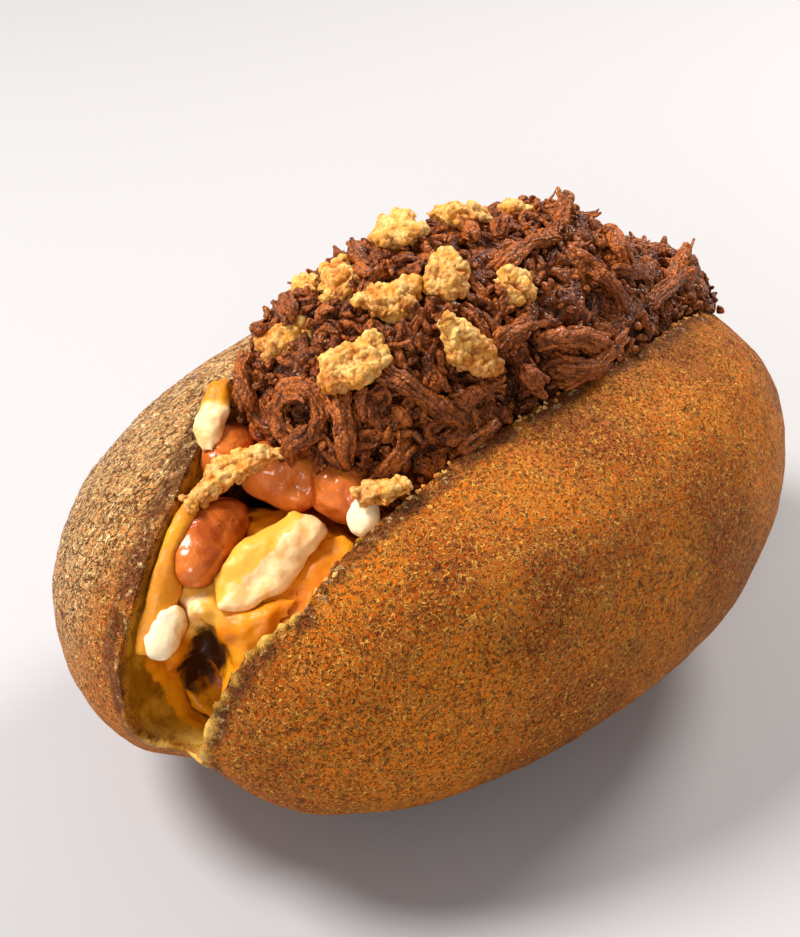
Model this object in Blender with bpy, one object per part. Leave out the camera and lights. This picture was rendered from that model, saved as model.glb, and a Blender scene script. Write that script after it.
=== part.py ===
"""A baked potato, slit lengthwise and pushed open, filled with melted cheese, beans and pulled beef, with crisp
onion pieces on top. Metres, +Z up. X runs along the potato, from the open near end to the far end.
The origin is on the table, under the middle of the whole piece."""

import math
import random

import bmesh
import bpy
import numpy as np
from mathutils import Matrix, Vector, noise

MM = 0.001

# The potato.
LENGTH = 140 * MM
WIDTH = 93.4 * MM
HEIGHT = 68.4 * MM
END_POWER = 2.27  # 2 is an ellipsoid; more is blunter at the ends
SIDE_POWER = 2.38  # the same round the girth
UNDERSIDE_FLAT = 0.8 * MM  # the resting spot is pressed flat by this much
LUMP = 0.012  # the skin's low swells, as a share of the radius
BODY_SIDES = (40, 20)  # round the girth, and from end to end
# The cleft under the near end, where the slit runs out.
CLEFT_AT = Vector((-59, -12, 14)) * MM
CLEFT_REACH = Vector((18, 8.5, 14)) * MM
CLEFT_DEPTH = 8 * MM
CLEFT_WAY = Vector((0.6, 0.2, 0.75))
GAP = 0.4 * MM  # room left between pieces that touch

# The slit, as values at stations along X, in millimetres.
SLIT_X = (-78, -70, -62, -52, -38, -23, 0, 29, 48, 58, 64)
SLIT_CENTRE_Y = (-11, -11.5, -10.4, -10, -5.2, -1.7, 0, 0, 0, 0, 0)
SLIT_HALF_TOP = (7, 7.6, 9.6, 13.8, 17.4, 20.4, 20.6, 18.4, 13, 8, 3)
SLIT_HALF_FLOOR = (5, 5.2, 5.5, 5.5, 6.5, 7.5, 8, 7, 5, 3, 1)
SLIT_EDGE_Z = (36, 39, 48, 54.5, 60.5, 63.5, 65.5, 64, 60, 55, 52)
SLIT_FLOOR_Z = (29, 28.5, 27, 25, 23, 22, 22, 24, 36, 48, 60)
SLIT_CLOSES = 29 * MM
SLIT_SEED = 4
SLIT_STEP = 7  # millimetres between the stations of the cutter
WALL_SHARES = (0.04, 0.2, 0.4, 0.6, 0.8, 1.0)  # heights of a wall's points, as shares of its rise
WALL_ROUND = 0.6  # how soon a wall steepens above the floor
TOP_FLARE = 2 * MM  # how much wider the cutter is at its top than at the rim
CUT_TOP = 95 * MM
CRUMB = 0.35 * MM  # unevenness of the torn flesh
FLAT_ANGLE = 1  # degrees; faces that meet flatter than this are made one after a cut
SHORT_EDGE = 0.06 * MM
THIN_FACE = 0.02 * MM
TIDY_PASSES = 12

# The pulled beef, a mound on the slit.
HEAP_MIN_X = -34 * MM
HEAP_MAX_X = 65 * MM
HEAP_MIDDLE_X = (HEAP_MIN_X + HEAP_MAX_X) / 2
HEAP_HALF_LENGTH = (HEAP_MAX_X - HEAP_MIN_X) / 2
HEAP_HALF_WIDTH = 21.5 * MM
HEAP_MIDDLE_Z = 59 * MM
HEAP_RISE = 28.6 * MM
HEAP_FALL_X = (-38, -6, 20, 30, 40, 50, 60, 66)
HEAP_FALL = (0, 0, 4.6, 4.8, 11.5, 15.5, 14.5, 14)  # how far the crest has come down there, in millimetres
HEAP_LUMP = 0.10
HEAP_LUMP_SCALE = 2.6
HEAP_LUMP_FROM = Vector((5.2, 0.4, 1.7))  # where the noise that makes the swells is read
HEAP_SIDES = (22, 11)
HEAP_BELOW = 1.15  # the hidden lower half reaches this much further down
HEAP_POWERS = (3.3, 2.5)  # how square the mound is, seen from above, at its near and far end
HEAP_TUCK = 0.45  # how far the near face draws back below the rim, as a share of the drop
HEAP_TUCK_TOP = 67 * MM
HEAP_TAPER = 0.16
FRAME_STEP = 0.02  # how far apart the points are that give the mound's slope
FIND_STEPS = 30  # steps to find the mound's point over or near a place
HEAP_LEAN = 0.9 * MM  # the near face lies this far to the left
SHREDS = 57
SHRED_SEED = 11
SHRED_TRIES = 300
SHRED_POINTS = 4
CLEAR_POINTS = 5
LOOP_POINTS = 3  # more of them on a strip that bends into a loop
SHRED_RADIUS = (0.95, 1.55)  # millimetres, as are the next two
SHRED_LENGTH = (14, 26)
SHRED_LIFT = 1.3 * MM  # a strip's middle stands this far off the mound
SHRED_DIP = 1.7 * MM  # how far its ends sink
SHRED_THIN = 0.45  # how much thinner its ends are
SHRED_LOOP = 180  # degrees; a strip that bends further gets more points
SHRED_MIN_POINTS = 3
LEAST_BEND = 0.5  # degrees, of a straight strip

# Strips that show clearly: tilt along the mound in degrees (-90 at its near end, 0 at the middle), turn
# round it (0 on top, less to the right), heading on its surface (0 along X, more to the left), length and
# radius in millimetres, bend in degrees, and how far the last end stands off the mound.
CLEAR_SHREDS = (
    (-64, -14, 20, 27, 1.5, 310, 0),
    (-37, -57, -50, 19, 1.5, 14, 0),
    (-48, -75, -131, 10, 1.5, 20, 0),
    (-22, -50, 12, 18, 1.4, -25, 0),
    (-18, -62, -57, 12, 1.7, 8, 0),
    (-4, -56, -26, 16, 1.6, -12, 0),
    (-4, -66, -18, 13, 1.5, 20, 0),
    (-30, -76, 9, 16, 1.4, -10, 0),
    (2, -64, 9, 20, 1.3, 10, 0),
    (-73, -45, -41, 15, 1.4, 30, 0),
    (-54, -54, -101, 11, 1.3, -15, 0),
    (8, -38, -60, 14, 1.5, 15, 0),
    (21, -39, -9, 18, 1.4, 25, 0),
    (-4, -18, 5, 18, 1.4, -20, 0),
    (34, -36, 12, 22, 1.4, 18, 0),
    (-60, 36, 166, 10, 1.4, 30, 0),
    (10, -9, 31, 7, 1.5, 0, 3.5),
    (28, -31, 39, 7, 1.4, 0, 3.5),
    (-12, -4, 45, 7, 1.4, 0, 2.5),
    (-48, 18, 50, 7, 1.5, 0, 3.5),
    (-54, 33, 49, 6, 1.4, 0, 3.0),
    (38, -33, -4, 10, 1.3, 0, 1.5),
    (16, -30, 80, 7, 1.4, 0, 3.0),
    (-8, -10, 40, 7, 1.4, 0, 2.5),
    (44, -33, 33, 6, 1.2, 0, 2.0),
    (-31, 9, 52, 6, 1.3, 0, 2.0),
)

# Beans: centre, heading and pitch in degrees, then length, width and thickness, all in millimetres.
BEANS = {
    "bean_1": ((-48.7, 0.9, 52.4), 24, 8, (17.5, 10.6, 9.2)),
    "bean_2": ((-33.6, -0.2, 58.2), -70, -10, (14.5, 11.4, 10.4)),
    "bean_3": ((-30.2, -9.8, 58.6), -60, -12, (13.0, 10.4, 9.4)),
    "bean_4": ((-37.2, 9.4, 59.4), 30, 0, (12.0, 8.4, 7.6)),
}
BEAN_SIDES = (12, 8)
BEAN_BEND = 0.14
BEAN_PINCH = 0.14
PINCH_REACH = 0.35  # of the half length
BAR_END = 0.4  # how much a bar of cheese thins at its ends
BAR_SIDES = 8
SLICE_ROUGH = 0.22
SWELL_SCALE = 2.2  # of the noise that makes cheese uneven

# Crisp onion on the beef: place seen from above, heading, then length, width, thickness and bend.
ONIONS_ON_BEEF = {
    "onion_1": ((-4.2, 4.7), 50, (9.6, 8.2, 5.0), 0.20),
    "onion_2": ((7.2, 2.0), -40, (9.6, 5.4, 4.2), 0.18),
    "onion_3": ((-17.2, 3.8), 50, (8.6, 6.2, 4.6), 0.15),
    "onion_4": ((-18.8, 9.6), 20, (5.6, 4.8, 3.8), 0.10),
    "onion_5": ((-15.1, -4.4), -25, (9.6, 7.6, 4.6), 0.20),
    "onion_6": ((-5.6, -6.6), 30, (8.8, 7.4, 4.6), 0.25),
    "onion_7": ((4.8, -11.3), -28, (8.8, 5.4, 4.0), 0.22),
    "onion_8": ((-9.6, -15.4), -80, (11.4, 6.6, 4.0), 0.12),
    "onion_9": ((-27.7, 4.7), -40, (9.6, 4.6, 3.8), 0.20),
    "onion_10": ((-25.3, -7.7), -5, (11.2, 7.8, 5.0), 0.18),
    "onion_11": ((20.6, 3.4), -40, (4.8, 3.6, 3.0), 0.10),
}
ONION_REACH = 0.38  # share of an onion piece's length that strips keep away from its middle
ONION_SIDES = (11, 7)
ONIONS_BELOW_SEED = 20
ONION_STANDS = 0.32  # share of its thickness by which its middle stands off the beef
ONION_CENTRE = 0.35  # keeps a bent piece centred on its place
KNOB = 0.51
KNOB_SCALE = 1.9
KNOB_APART = Vector((3.7, 1.3, 2.1))  # sets the pieces' noise apart
# Crisp onion on the beans and at the rim: centre, heading, pitch, sizes and bend.
ONIONS_BELOW = {
    "onion_12": ((-42.4, 2.2, 61.4), -21, 26, (17.5, 5.6, 3.6), -0.26),
    "onion_13": ((-30.8, -20.6, 64.2), -32, 15, (8.6, 4.2, 3.0), 0.10),
}

# Cheese pieces, each a bar along a few points, in millimetres, the width at each, its thickness and
# the way that its flat side faces.
CHEESE_BARS = {
    "cheese_strip_left": (
        ((-64.8, -4.0, 41.6), (-59.2, -1.8, 49.2), (-53.2, 1.2, 55.4), (-47.6, 4.4, 58.6)),
        (6.2, 5.2, 4.0, 2.6), 2.6, (-0.3, -0.85, 0.4),
    ),
    "cheese_nub_front": (
        ((-64.4, -6.4, 42.4), (-61.4, -4.6, 45.0), (-58.4, -3.6, 47.4)),
        (5.0, 6.0, 4.4), 3.8, (-0.56, -0.6, 0.57),
    ),
    "cheese_nub_right": (
        ((-34.4, -18.8, 57.4), (-32.6, -18.0, 59.2), (-30.6, -17.0, 60.8)),
        (3.8, 4.6, 3.6), 3.2, (-0.56, -0.6, 0.57),
    ),
    "cheese_shred_top": (
        ((-41.6, 8.6, 61.8), (-38.2, 11.6, 64.4), (-34.8, 13.8, 66.4), (-31.6, 15.6, 67.6)),
        (4.6, 5.0, 4.6, 3.4), 3.0, (-0.45, -0.4, 0.8),
    ),
}

# Flat pieces of cheese: where each starts and ends, the way it faces, then width, thickness and seed.
CHEESE_SLICES = {
    "cheese_slice": ((-54.2, -8.2, 48.0), (-36.4, -11.6, 56.8), (-0.38, -0.42, 0.82), 9.6, 3.8, 2),
    "cheese_sheet": ((-54.0, -11.6, 42.8), (-32.8, -16.2, 53.6), (-0.30, -0.30, 0.90), 11.0, 3.4, 5),
}
CHEESE_BED_AT = Vector((-40, -5, 37.5)) * MM
CHEESE_BED = Vector((42, 38, 31)) * MM
CHEESE_BED_ROUGH = 0.22
CHEESE_BED_SIDES = (14, 9)
CHEESE_BITS = ((-54.2, -1.6, 47.4, 2.6), (-55.8, -6.6, 46.4, 2.4), (-58.6, -4.6, 40.6, 3.0))  # x, y, z, radius
CAVITY_AT = Vector((-60, -9.4, 34.4)) * MM  # the dark hollow left under the cheese at the near end
CAVITY = Vector((32, 10, 13)) * MM
CAVITY_HEADING = 8
CAVITY_ROUGH = 0.2
BIT_SIDES = (9, 6)
BIT_ROUGH = 0.3

MATERIALS = {
    "potato": ((0.36, 0.13, 0.03), 0.5),
    "pulled_beef": ((0.11, 0.025, 0.012), 0.55),
    "cheese": ((0.85, 0.30, 0.02), 0.35),
    "bean": ((0.38, 0.075, 0.02), 0.25),
    "onion": ((0.78, 0.44, 0.13), 0.6),
}


def clear_scene():
    for obj in list(bpy.data.objects):
        bpy.data.objects.remove(obj)


def material(kind):
    found = bpy.data.materials.get(kind)
    if found:
        return found
    colour, roughness = MATERIALS[kind]
    made = bpy.data.materials.new(kind)
    made.use_nodes = True
    shader = made.node_tree.nodes["Principled BSDF"]
    shader.inputs["Base Color"].default_value = (*colour, 1)
    shader.inputs["Roughness"].default_value = roughness
    shader.inputs["Metallic"].default_value = 0
    return made


def collection(name):
    made = bpy.data.collections.new(name)
    bpy.context.scene.collection.children.link(made)
    return made


def new_object(name, mesh, kind, into):
    obj = bpy.data.objects.new(name, mesh)
    if kind:
        mesh.materials.clear()
        mesh.materials.append(material(kind))
    into.objects.link(obj)
    return obj


def face_out(bm):
    bmesh.ops.recalc_face_normals(bm, faces=bm.faces)
    if bm.calc_volume(signed=True) < 0:
        bmesh.ops.reverse_faces(bm, faces=bm.faces)


def mesh_from(bm, name):
    mesh = bpy.data.meshes.new(name)
    bmesh.ops.triangulate(bm, faces=bm.faces)
    face_out(bm)
    bm.to_mesh(mesh)
    bm.free()
    return mesh


def ball(segments, rings):
    """A unit UV sphere with its poles on X."""
    bm = bmesh.new()
    turn = Matrix.Rotation(math.radians(90), 4, "Y")
    bmesh.ops.create_uvsphere(bm, u_segments=segments, v_segments=rings, radius=1, matrix=turn)
    return bm


def at_station(x, values):
    """A value given at SLIT_X, read at x, in metres."""
    return float(np.interp(x / MM, SLIT_X, values)) * MM


def turned(roll, pitch, heading):
    """Roll about X, then pitch about Y with the X end rising, then heading about Z, in degrees."""
    return (
        Matrix.Rotation(math.radians(heading), 4, "Z")
        @ Matrix.Rotation(math.radians(-pitch), 4, "Y")
        @ Matrix.Rotation(math.radians(roll), 4, "X")
    )


def body_point(unit, grow):
    """Where the skin lies in the direction of a unit vector, grown by a clearance."""
    half = Vector((LENGTH / 2 + grow, WIDTH / 2 + grow, HEIGHT / 2 + grow))
    x, y, z = (abs(v) for v in unit)
    size = x**END_POWER + (y**SIDE_POWER + z**SIDE_POWER) ** (END_POWER / SIDE_POWER)
    swell = math.sin(3.1 * unit.x + 2.3 * unit.y + 0.6) * math.sin(2.7 * unit.z - 1.9 * unit.x + 1.1)
    point = Vector(a * b for a, b in zip(unit, half)) * size ** (-1 / END_POWER) * (1 + LUMP * swell)
    point.z += HEIGHT / 2 - UNDERSIDE_FLAT
    away = sum(((a - b) / c) ** 2 for a, b, c in zip(point, CLEFT_AT, CLEFT_REACH))
    point += CLEFT_WAY * CLEFT_DEPTH * math.exp(-away)
    point.z = max(point.z, -grow)
    return point


def potato_body(grow, into):
    bm = ball(*BODY_SIDES)
    for vert in bm.verts:
        vert.co = body_point(vert.co.normalized(), grow)
    return new_object("potato_body", mesh_from(bm, "potato_body"), None, into)


def slit_ring(x, shrink, rng):
    """The slit's U at one station: down the left wall, across the floor and up the right."""
    # Where the slit closes towards the far end, a shrunk one closes sooner.
    read = x + 2 * shrink if x > SLIT_CLOSES else x
    centre = at_station(read, SLIT_CENTRE_Y)
    half_floor = at_station(read, SLIT_HALF_FLOOR) - shrink
    half_top = at_station(read, SLIT_HALF_TOP) - shrink
    floor = at_station(read, SLIT_FLOOR_Z) + shrink
    edge = at_station(read, SLIT_EDGE_Z)
    wall = []
    for share in WALL_SHARES:
        y = half_floor + (half_top - half_floor) * share**WALL_ROUND
        wall.append((y, floor + (edge - floor) * share))
    wall.append((half_top + TOP_FLARE, CUT_TOP))
    left = [Vector((x, centre + y, z)) for y, z in reversed(wall)]
    right = [Vector((x, centre - y, z)) for y, z in wall]
    ring = left + [Vector((x, centre, floor))] + right
    for point in ring[1:-1]:
        point.y += rng.uniform(-CRUMB, CRUMB)
        point.z += rng.uniform(-CRUMB, CRUMB) / 2
    return ring


def loft(rings):
    """A closed solid through rings that have the same number of points."""
    bm = bmesh.new()
    rows = [[bm.verts.new(p) for p in ring] for ring in rings]
    count = len(rows[0])
    for first, second in zip(rows, rows[1:]):
        for i in range(count):
            j = (i + 1) % count
            bm.faces.new((first[i], first[j], second[j], second[i]))
    bm.faces.new(rows[0])
    bm.faces.new(rows[-1])
    return bm


def slit_cutter(shrink, into):
    rng = random.Random(SLIT_SEED)
    stations = np.arange(SLIT_X[0], SLIT_X[-1] + 0.1, SLIT_STEP) * MM
    stations[-1] -= shrink
    bm = loft([slit_ring(float(x), shrink, rng) for x in stations])
    cutter = new_object("slit", mesh_from(bm, "slit"), None, into)
    as_helper(cutter)
    return cutter


def as_helper(obj):
    obj.hide_render = True
    obj.display_type = "WIRE"


def apply_boolean(obj, operation, others):
    """Cuts others from obj, or joins them to it, and keeps the result as its mesh."""
    group = bpy.data.collections.new("operands")
    for other in others:
        group.objects.link(other)
    step = obj.modifiers.new(operation.lower(), "BOOLEAN")
    step.operation = operation
    step.solver = "MANIFOLD"
    step.operand_type = "COLLECTION"
    step.collection = group
    graph = bpy.context.evaluated_depsgraph_get()
    mesh = bpy.data.meshes.new_from_object(obj.evaluated_get(graph))
    obj.modifiers.clear()
    obj.data = mesh
    bpy.data.collections.remove(group)


def tidied(mesh):
    """The mesh as triangles, with flat neighbours made one and the slivers that a cut leaves taken out."""
    for angle in (FLAT_ANGLE, 0):
        bm = bmesh.new()
        bm.from_mesh(mesh)
        if angle:
            bmesh.ops.dissolve_limit(bm, angle_limit=math.radians(angle), verts=bm.verts, edges=bm.edges)
        # A corner between two faces only would let both be split along one line, which doubles it.
        bmesh.ops.dissolve_verts(bm, verts=[v for v in bm.verts if len(v.link_edges) == 2])
        bmesh.ops.triangulate(bm, faces=bm.faces)
        for _ in range(TIDY_PASSES):
            if not close_short_edges(bm) + turn_thin_faces(bm):
                break
        if all(edge.is_manifold for edge in bm.edges) and not doubled_faces(bm):
            break
    return bm


def doubled_faces(bm):
    return len({frozenset(face.verts) for face in bm.faces}) < len(bm.faces)


def close_short_edges(bm):
    closed = 0
    for edge in list(bm.edges):
        if not edge.is_valid or edge.calc_length() > SHORT_EDGE:
            continue
        first, second = edge.verts
        around = {e.other_vert(first) for e in first.link_edges}
        shared = around & {e.other_vert(second) for e in second.link_edges}
        # Only where both ends share two neighbours does the mesh stay closed.
        if len(shared) == 2:
            bmesh.ops.pointmerge(bm, verts=[first, second], merge_co=(first.co + second.co) / 2)
            closed += 1
    return closed


def turn_thin_faces(bm):
    turned_edges = 0
    for face in list(bm.faces):
        if not face.is_valid:
            continue
        longest = max(face.edges, key=lambda e: e.calc_length())
        if 2 * face.calc_area() > THIN_FACE * longest.calc_length():
            continue
        corners = {v for f in longest.link_faces for v in f.verts} - set(longest.verts)
        # The two far corners must be apart and not joined yet, or the turned edge would double another.
        if len(corners) != 2:
            continue
        first, second = corners
        if any(e.other_vert(first) == second for e in first.link_edges):
            continue
        if bmesh.utils.edge_rotate(longest, False):
            turned_edges += 1
    return turned_edges


def keep_largest(obj):
    """Drops loose scraps that a cut leaves."""
    bm = tidied(obj.data)
    seen, islands = set(), []
    for start in bm.faces:
        if start in seen:
            continue
        island, front = [], [start]
        seen.add(start)
        while front:
            face = front.pop()
            island.append(face)
            for edge in face.edges:
                for other in edge.link_faces:
                    if other not in seen:
                        seen.add(other)
                        front.append(other)
        islands.append(island)
    islands.sort(key=len)
    for island in islands[:-1]:
        bmesh.ops.delete(bm, geom=island, context="FACES")
    face_out(bm)
    bm.to_mesh(obj.data)
    bm.free()


def remove(objects):
    for obj in objects:
        bpy.data.objects.remove(obj)


def potato(name, grow, into, kind=None):
    """The split potato. A grown one is the room that the fillings leave round it."""
    body = potato_body(grow, into)
    cutter = slit_cutter(grow, into)
    apply_boolean(body, "DIFFERENCE", [cutter])
    remove([cutter])
    keep_largest(body)
    body.name = name
    if kind:
        body.data.materials.clear()
        body.data.materials.append(material(kind))
    return body


def grown(obj, by, into):
    """A helper copy of obj, its faces moved out by a clearance."""
    mesh = obj.data.copy()
    normals = [v.normal.copy() for v in mesh.vertices]
    for vert, normal in zip(mesh.vertices, normals):
        vert.co += normal * by
    copy = new_object(obj.name + "_room", mesh, None, into)
    copy.matrix_world = obj.matrix_world
    as_helper(copy)
    return copy


def bean(name, place, into):
    """A kidney shape: an ellipsoid bent in its own plane, a little pinched on the inner side."""
    centre, heading, pitch, size = place
    length, width, thick = (v * MM / 2 for v in size)
    turn = turned(0, pitch, heading)
    bm = ball(*BEAN_SIDES)
    for vert in bm.verts:
        x, y, z = vert.co
        pinch = 1 - BEAN_PINCH * math.exp(-((x / PINCH_REACH) ** 2)) * (y < 0)
        local = Vector((x * length, y * width * pinch - BEAN_BEND * length * x * x, z * thick))
        vert.co = turn @ local + Vector(centre) * MM
    return new_object(name, mesh_from(bm, name), "bean", into)


def crumbly(unit, seed):
    """A radius factor that gives batter its knobs."""
    return 1 + KNOB * noise.noise(unit * KNOB_SCALE + KNOB_APART * seed)


def onion(name, centre, frame, size, bend, into, seed):
    length, width, thick = (v * MM / 2 for v in size)
    bm = ball(*ONION_SIDES)
    for vert in bm.verts:
        unit = vert.co.normalized()
        x, y, z = unit * crumbly(unit, seed)
        local = Vector((x * length, y * width + bend * length * (x * x - ONION_CENTRE), z * thick))
        vert.co = frame @ local + centre
    return new_object(name, mesh_from(bm, name), "onion", into)


def heap_point(unit):
    """The beef mound's surface in the direction of a unit vector from its middle."""
    power = HEAP_POWERS[0] if unit.x < 0 else HEAP_POWERS[1]
    girth = math.hypot(unit.y, unit.z)
    reach = (abs(unit.x) ** power + girth**power) ** (-1 / power)
    lumps = 1 + HEAP_LUMP * noise.noise(unit * HEAP_LUMP_SCALE + HEAP_LUMP_FROM)
    x = HEAP_MIDDLE_X + unit.x * reach * HEAP_HALF_LENGTH
    taper = 1 - HEAP_TAPER * max(0, unit.x * reach)
    y = unit.y * reach * HEAP_HALF_WIDTH * taper * lumps
    z = HEAP_MIDDLE_Z + unit.z * reach * HEAP_RISE * lumps - heap_fall(x)
    nearness = max(0, -unit.x * reach)
    x += HEAP_TUCK * max(0, HEAP_TUCK_TOP - z) * nearness**2
    y += HEAP_LEAN * nearness
    return Vector((x, y, z))


def heap_fall(x):
    return float(np.interp(x / MM, HEAP_FALL_X, HEAP_FALL)) * MM


def heap_frame(unit):
    """Place on the mound, its normal, and the way along X there."""
    here = heap_point(unit)
    along = heap_point((unit + Vector((FRAME_STEP, 0, 0))).normalized()) - here
    side = Vector((0, -unit.z, unit.y)).normalized() * FRAME_STEP
    across = heap_point((unit + side).normalized()) - here
    normal = along.cross(across).normalized()
    if normal.dot(unit) < 0:
        normal.negate()
    return here, normal, along.normalized()


def heap_above(x, y):
    """The unit direction whose mound point lies over (x, y)."""
    unit = Vector(((x - HEAP_MIDDLE_X) / HEAP_HALF_LENGTH, y / HEAP_HALF_WIDTH, 1)).normalized()
    for _ in range(FIND_STEPS):
        off = Vector((x, y, 0)) - heap_point(unit)
        step = Vector((off.x / HEAP_HALF_LENGTH, off.y / HEAP_HALF_WIDTH, 0))
        unit = (unit + step / 2).normalized()
    return unit


def onion_on_beef(name, place, into, seed):
    (x, y), heading, size, bend = place
    here, normal, along = heap_frame(heap_above(x * MM, y * MM))
    # The heading is turned about Z first and then laid on the slope.
    flat = Vector((math.cos(math.radians(heading)), math.sin(math.radians(heading)), 0))
    length_way = (flat - normal * flat.dot(normal)).normalized()
    width_way = normal.cross(length_way)
    frame = Matrix((length_way, width_way, normal)).transposed()
    centre = here + normal * (size[2] * MM * ONION_STANDS)
    return onion(name, centre, frame, size, bend, into, seed)


def bar(name, place, into):
    """A melted bar of cheese: rounded sections along a path."""
    points, widths, thick, faces = place
    path = [Vector(p) * MM for p in points]
    rings = []
    steps = 2 * (len(path) - 1)
    for i in range(steps + 1):
        share = i / steps * (len(path) - 1)
        k = min(int(share), len(path) - 2)
        here = path[k].lerp(path[k + 1], share - k)
        width = widths[k] + (widths[k + 1] - widths[k]) * (share - k)
        way = (path[k + 1] - path[k]).normalized()
        side = way.cross(Vector(faces)).normalized()
        up = side.cross(way)
        end = 1 - BAR_END * abs(2 * i / steps - 1) ** 4
        ring = []
        for n in range(BAR_SIDES):
            angle = 2 * math.pi * (n + 0.5) / BAR_SIDES
            across = side * math.cos(angle) * width + up * math.sin(angle) * thick
            ring.append(here + across * MM / 2 * end)
        rings.append(ring)
    return new_object(name, mesh_from(loft(rings), name), "cheese", into)


def slice_of_cheese(name, place, into):
    start, end, faces, width, thick, seed = place
    start, end = Vector(start) * MM, Vector(end) * MM
    way = (end - start).normalized()
    side = Vector(faces).cross(way).normalized()
    frame = Matrix((way, side, way.cross(side))).transposed()
    size = Vector(((end - start).length, width * MM, thick * MM))
    return blob(name, (start + end) / 2, size, frame, into, SLICE_ROUGH, seed)


def blob(name, centre, size, turn, into, rough, seed, sides=(12, 8)):
    """A soft lump: an ellipsoid with uneven swells."""
    bm = ball(*sides)
    for vert in bm.verts:
        unit = vert.co.normalized()
        swell = 1 + rough * noise.noise(unit * SWELL_SCALE + Vector((seed, 2 * seed, -seed)))
        local = Vector(a * b / 2 for a, b in zip(unit, size)) * swell
        vert.co = turn @ local + centre
    return new_object(name, mesh_from(bm, name), "cheese", into)


def cheese_bed(into, helpers):
    """Melted cheese and mash under the slices, with small lumps on it and a hollow at the near end."""
    level = Matrix.Identity(4)
    bed = blob("cheese_bed", CHEESE_BED_AT, CHEESE_BED, level, into, CHEESE_BED_ROUGH, 7, CHEESE_BED_SIDES)
    hollow = blob("cavity", CAVITY_AT, CAVITY, turned(0, 0, CAVITY_HEADING), helpers, CAVITY_ROUGH, 3)
    as_helper(hollow)
    bits = []
    for x, y, z, radius in CHEESE_BITS:
        size = Vector((2, 2, 2)) * radius * MM
        bits.append(blob("bit", Vector((x, y, z)) * MM, size, level, helpers, BIT_ROUGH, x, BIT_SIDES))
    apply_boolean(bed, "UNION", bits)
    apply_boolean(bed, "DIFFERENCE", [hollow])
    remove([hollow, *bits])
    return bed


def shred(index, points, radii, into):
    """One strip of beef: a four-sided tube along its points, made a mesh with its caps welded."""
    data = bpy.data.curves.new(f"shred_{index}", "CURVE")
    data.dimensions = "3D"
    data.bevel_depth = 1
    data.bevel_resolution = 0
    data.use_fill_caps = True
    spline = data.splines.new("POLY")
    spline.points.add(len(points) - 1)
    for point, co, radius in zip(spline.points, points, radii):
        point.co = (*co, 1)
        point.radius = radius
    curve = bpy.data.objects.new(f"shred_curve_{index}", data)
    into.objects.link(curve)
    bpy.context.view_layer.update()
    mesh = bpy.data.meshes.new_from_object(curve.evaluated_get(bpy.context.evaluated_depsgraph_get()))
    bpy.data.objects.remove(curve)
    bm = bmesh.new()
    bm.from_mesh(mesh)
    bmesh.ops.remove_doubles(bm, verts=bm.verts, dist=0.001 * MM)
    bpy.data.meshes.remove(mesh)
    return new_object(f"shred_{index}", mesh_from(bm, f"shred_{index}"), None, into)


def shred_path(place, count, blocked=()):
    """Points of one strip laid on the mound, cut short where it would meet another piece, or None."""
    tilt, around, heading, length, radius, bend, tip = place
    tilt, around = math.radians(tilt), math.radians(around)
    girth = math.cos(tilt)
    start = Vector((math.sin(tilt), girth * math.sin(around), girth * math.cos(around)))
    here, normal, along = heap_frame(start)
    way = Matrix.Rotation(math.radians(heading), 3, normal) @ along
    side = normal.cross(way)
    turn = math.radians(bend or LEAST_BEND)
    run, best = [], []
    for i in range(count):
        s = i / (count - 1) - 0.5
        ahead = length * MM / turn * math.sin(turn * s)
        aside = length * MM / turn * (1 - math.cos(turn * s))
        on_heap, out = heap_near(here + way * ahead + side * aside)
        off = SHRED_LIFT - SHRED_DIP * (2 * abs(s)) ** 3 * (tip == 0) + tip * MM * max(0, s + 0.5) ** 2
        spot = on_heap + out * off
        thin = radius * MM * (1 - SHRED_THIN * (2 * abs(s)) ** 2)
        clear = all((spot - centre).length > reach + thin for centre, reach in blocked)
        if clear and not hits_potato(spot, thin):
            run.append((spot, thin))
            best = max(best, run, key=len)
        else:
            run = []
    if len(best) < SHRED_MIN_POINTS:
        return None
    return [p for p, _ in best], [r for _, r in best]


def heap_share(offset):
    """An offset as shares of the mound's half sizes."""
    return Vector((offset.x / HEAP_HALF_LENGTH, offset.y / HEAP_HALF_WIDTH, offset.z / HEAP_RISE))


def heap_near(spot):
    """The mound's surface and its normal near a point, by moving over it until it lies below the point."""
    toward = spot - Vector((HEAP_MIDDLE_X, 0, HEAP_MIDDLE_Z - heap_fall(spot.x)))
    unit = heap_share(toward).normalized()
    for _ in range(FIND_STEPS):
        off = heap_share(spot - heap_point(unit))
        unit = (unit + (off - unit * off.dot(unit)) / 2).normalized()
    here, normal, _ = heap_frame(unit)
    return here, normal


def random_place(rng):
    """Tilt, turn, heading, length, radius, bend and tip of a strip, as in CLEAR_SHREDS."""
    tilt = math.degrees(math.asin(rng.uniform(-0.97, 0.95)))
    length, radius = rng.uniform(*SHRED_LENGTH), rng.uniform(*SHRED_RADIUS)
    around, heading = rng.uniform(-92, 92), rng.gauss(0, 50)
    return tilt, around, heading, length, radius, rng.uniform(-70, 70), 0


def hits_potato(point, radius):
    """True where a shred would run into the potato: below its skin and outside the slit."""
    from_middle = (point.x, point.y, point.z - HEIGHT / 2)
    x, y, z = (abs(v) / (size / 2 + radius) for v, size in zip(from_middle, (LENGTH, WIDTH, HEIGHT)))
    inside = x**END_POWER + (y**SIDE_POWER + z**SIDE_POWER) ** (END_POWER / SIDE_POWER) < 1
    in_slit = abs(point.y - at_station(point.x, SLIT_CENTRE_Y)) < at_station(point.x, SLIT_HALF_TOP) - radius
    return inside and not in_slit


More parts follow.
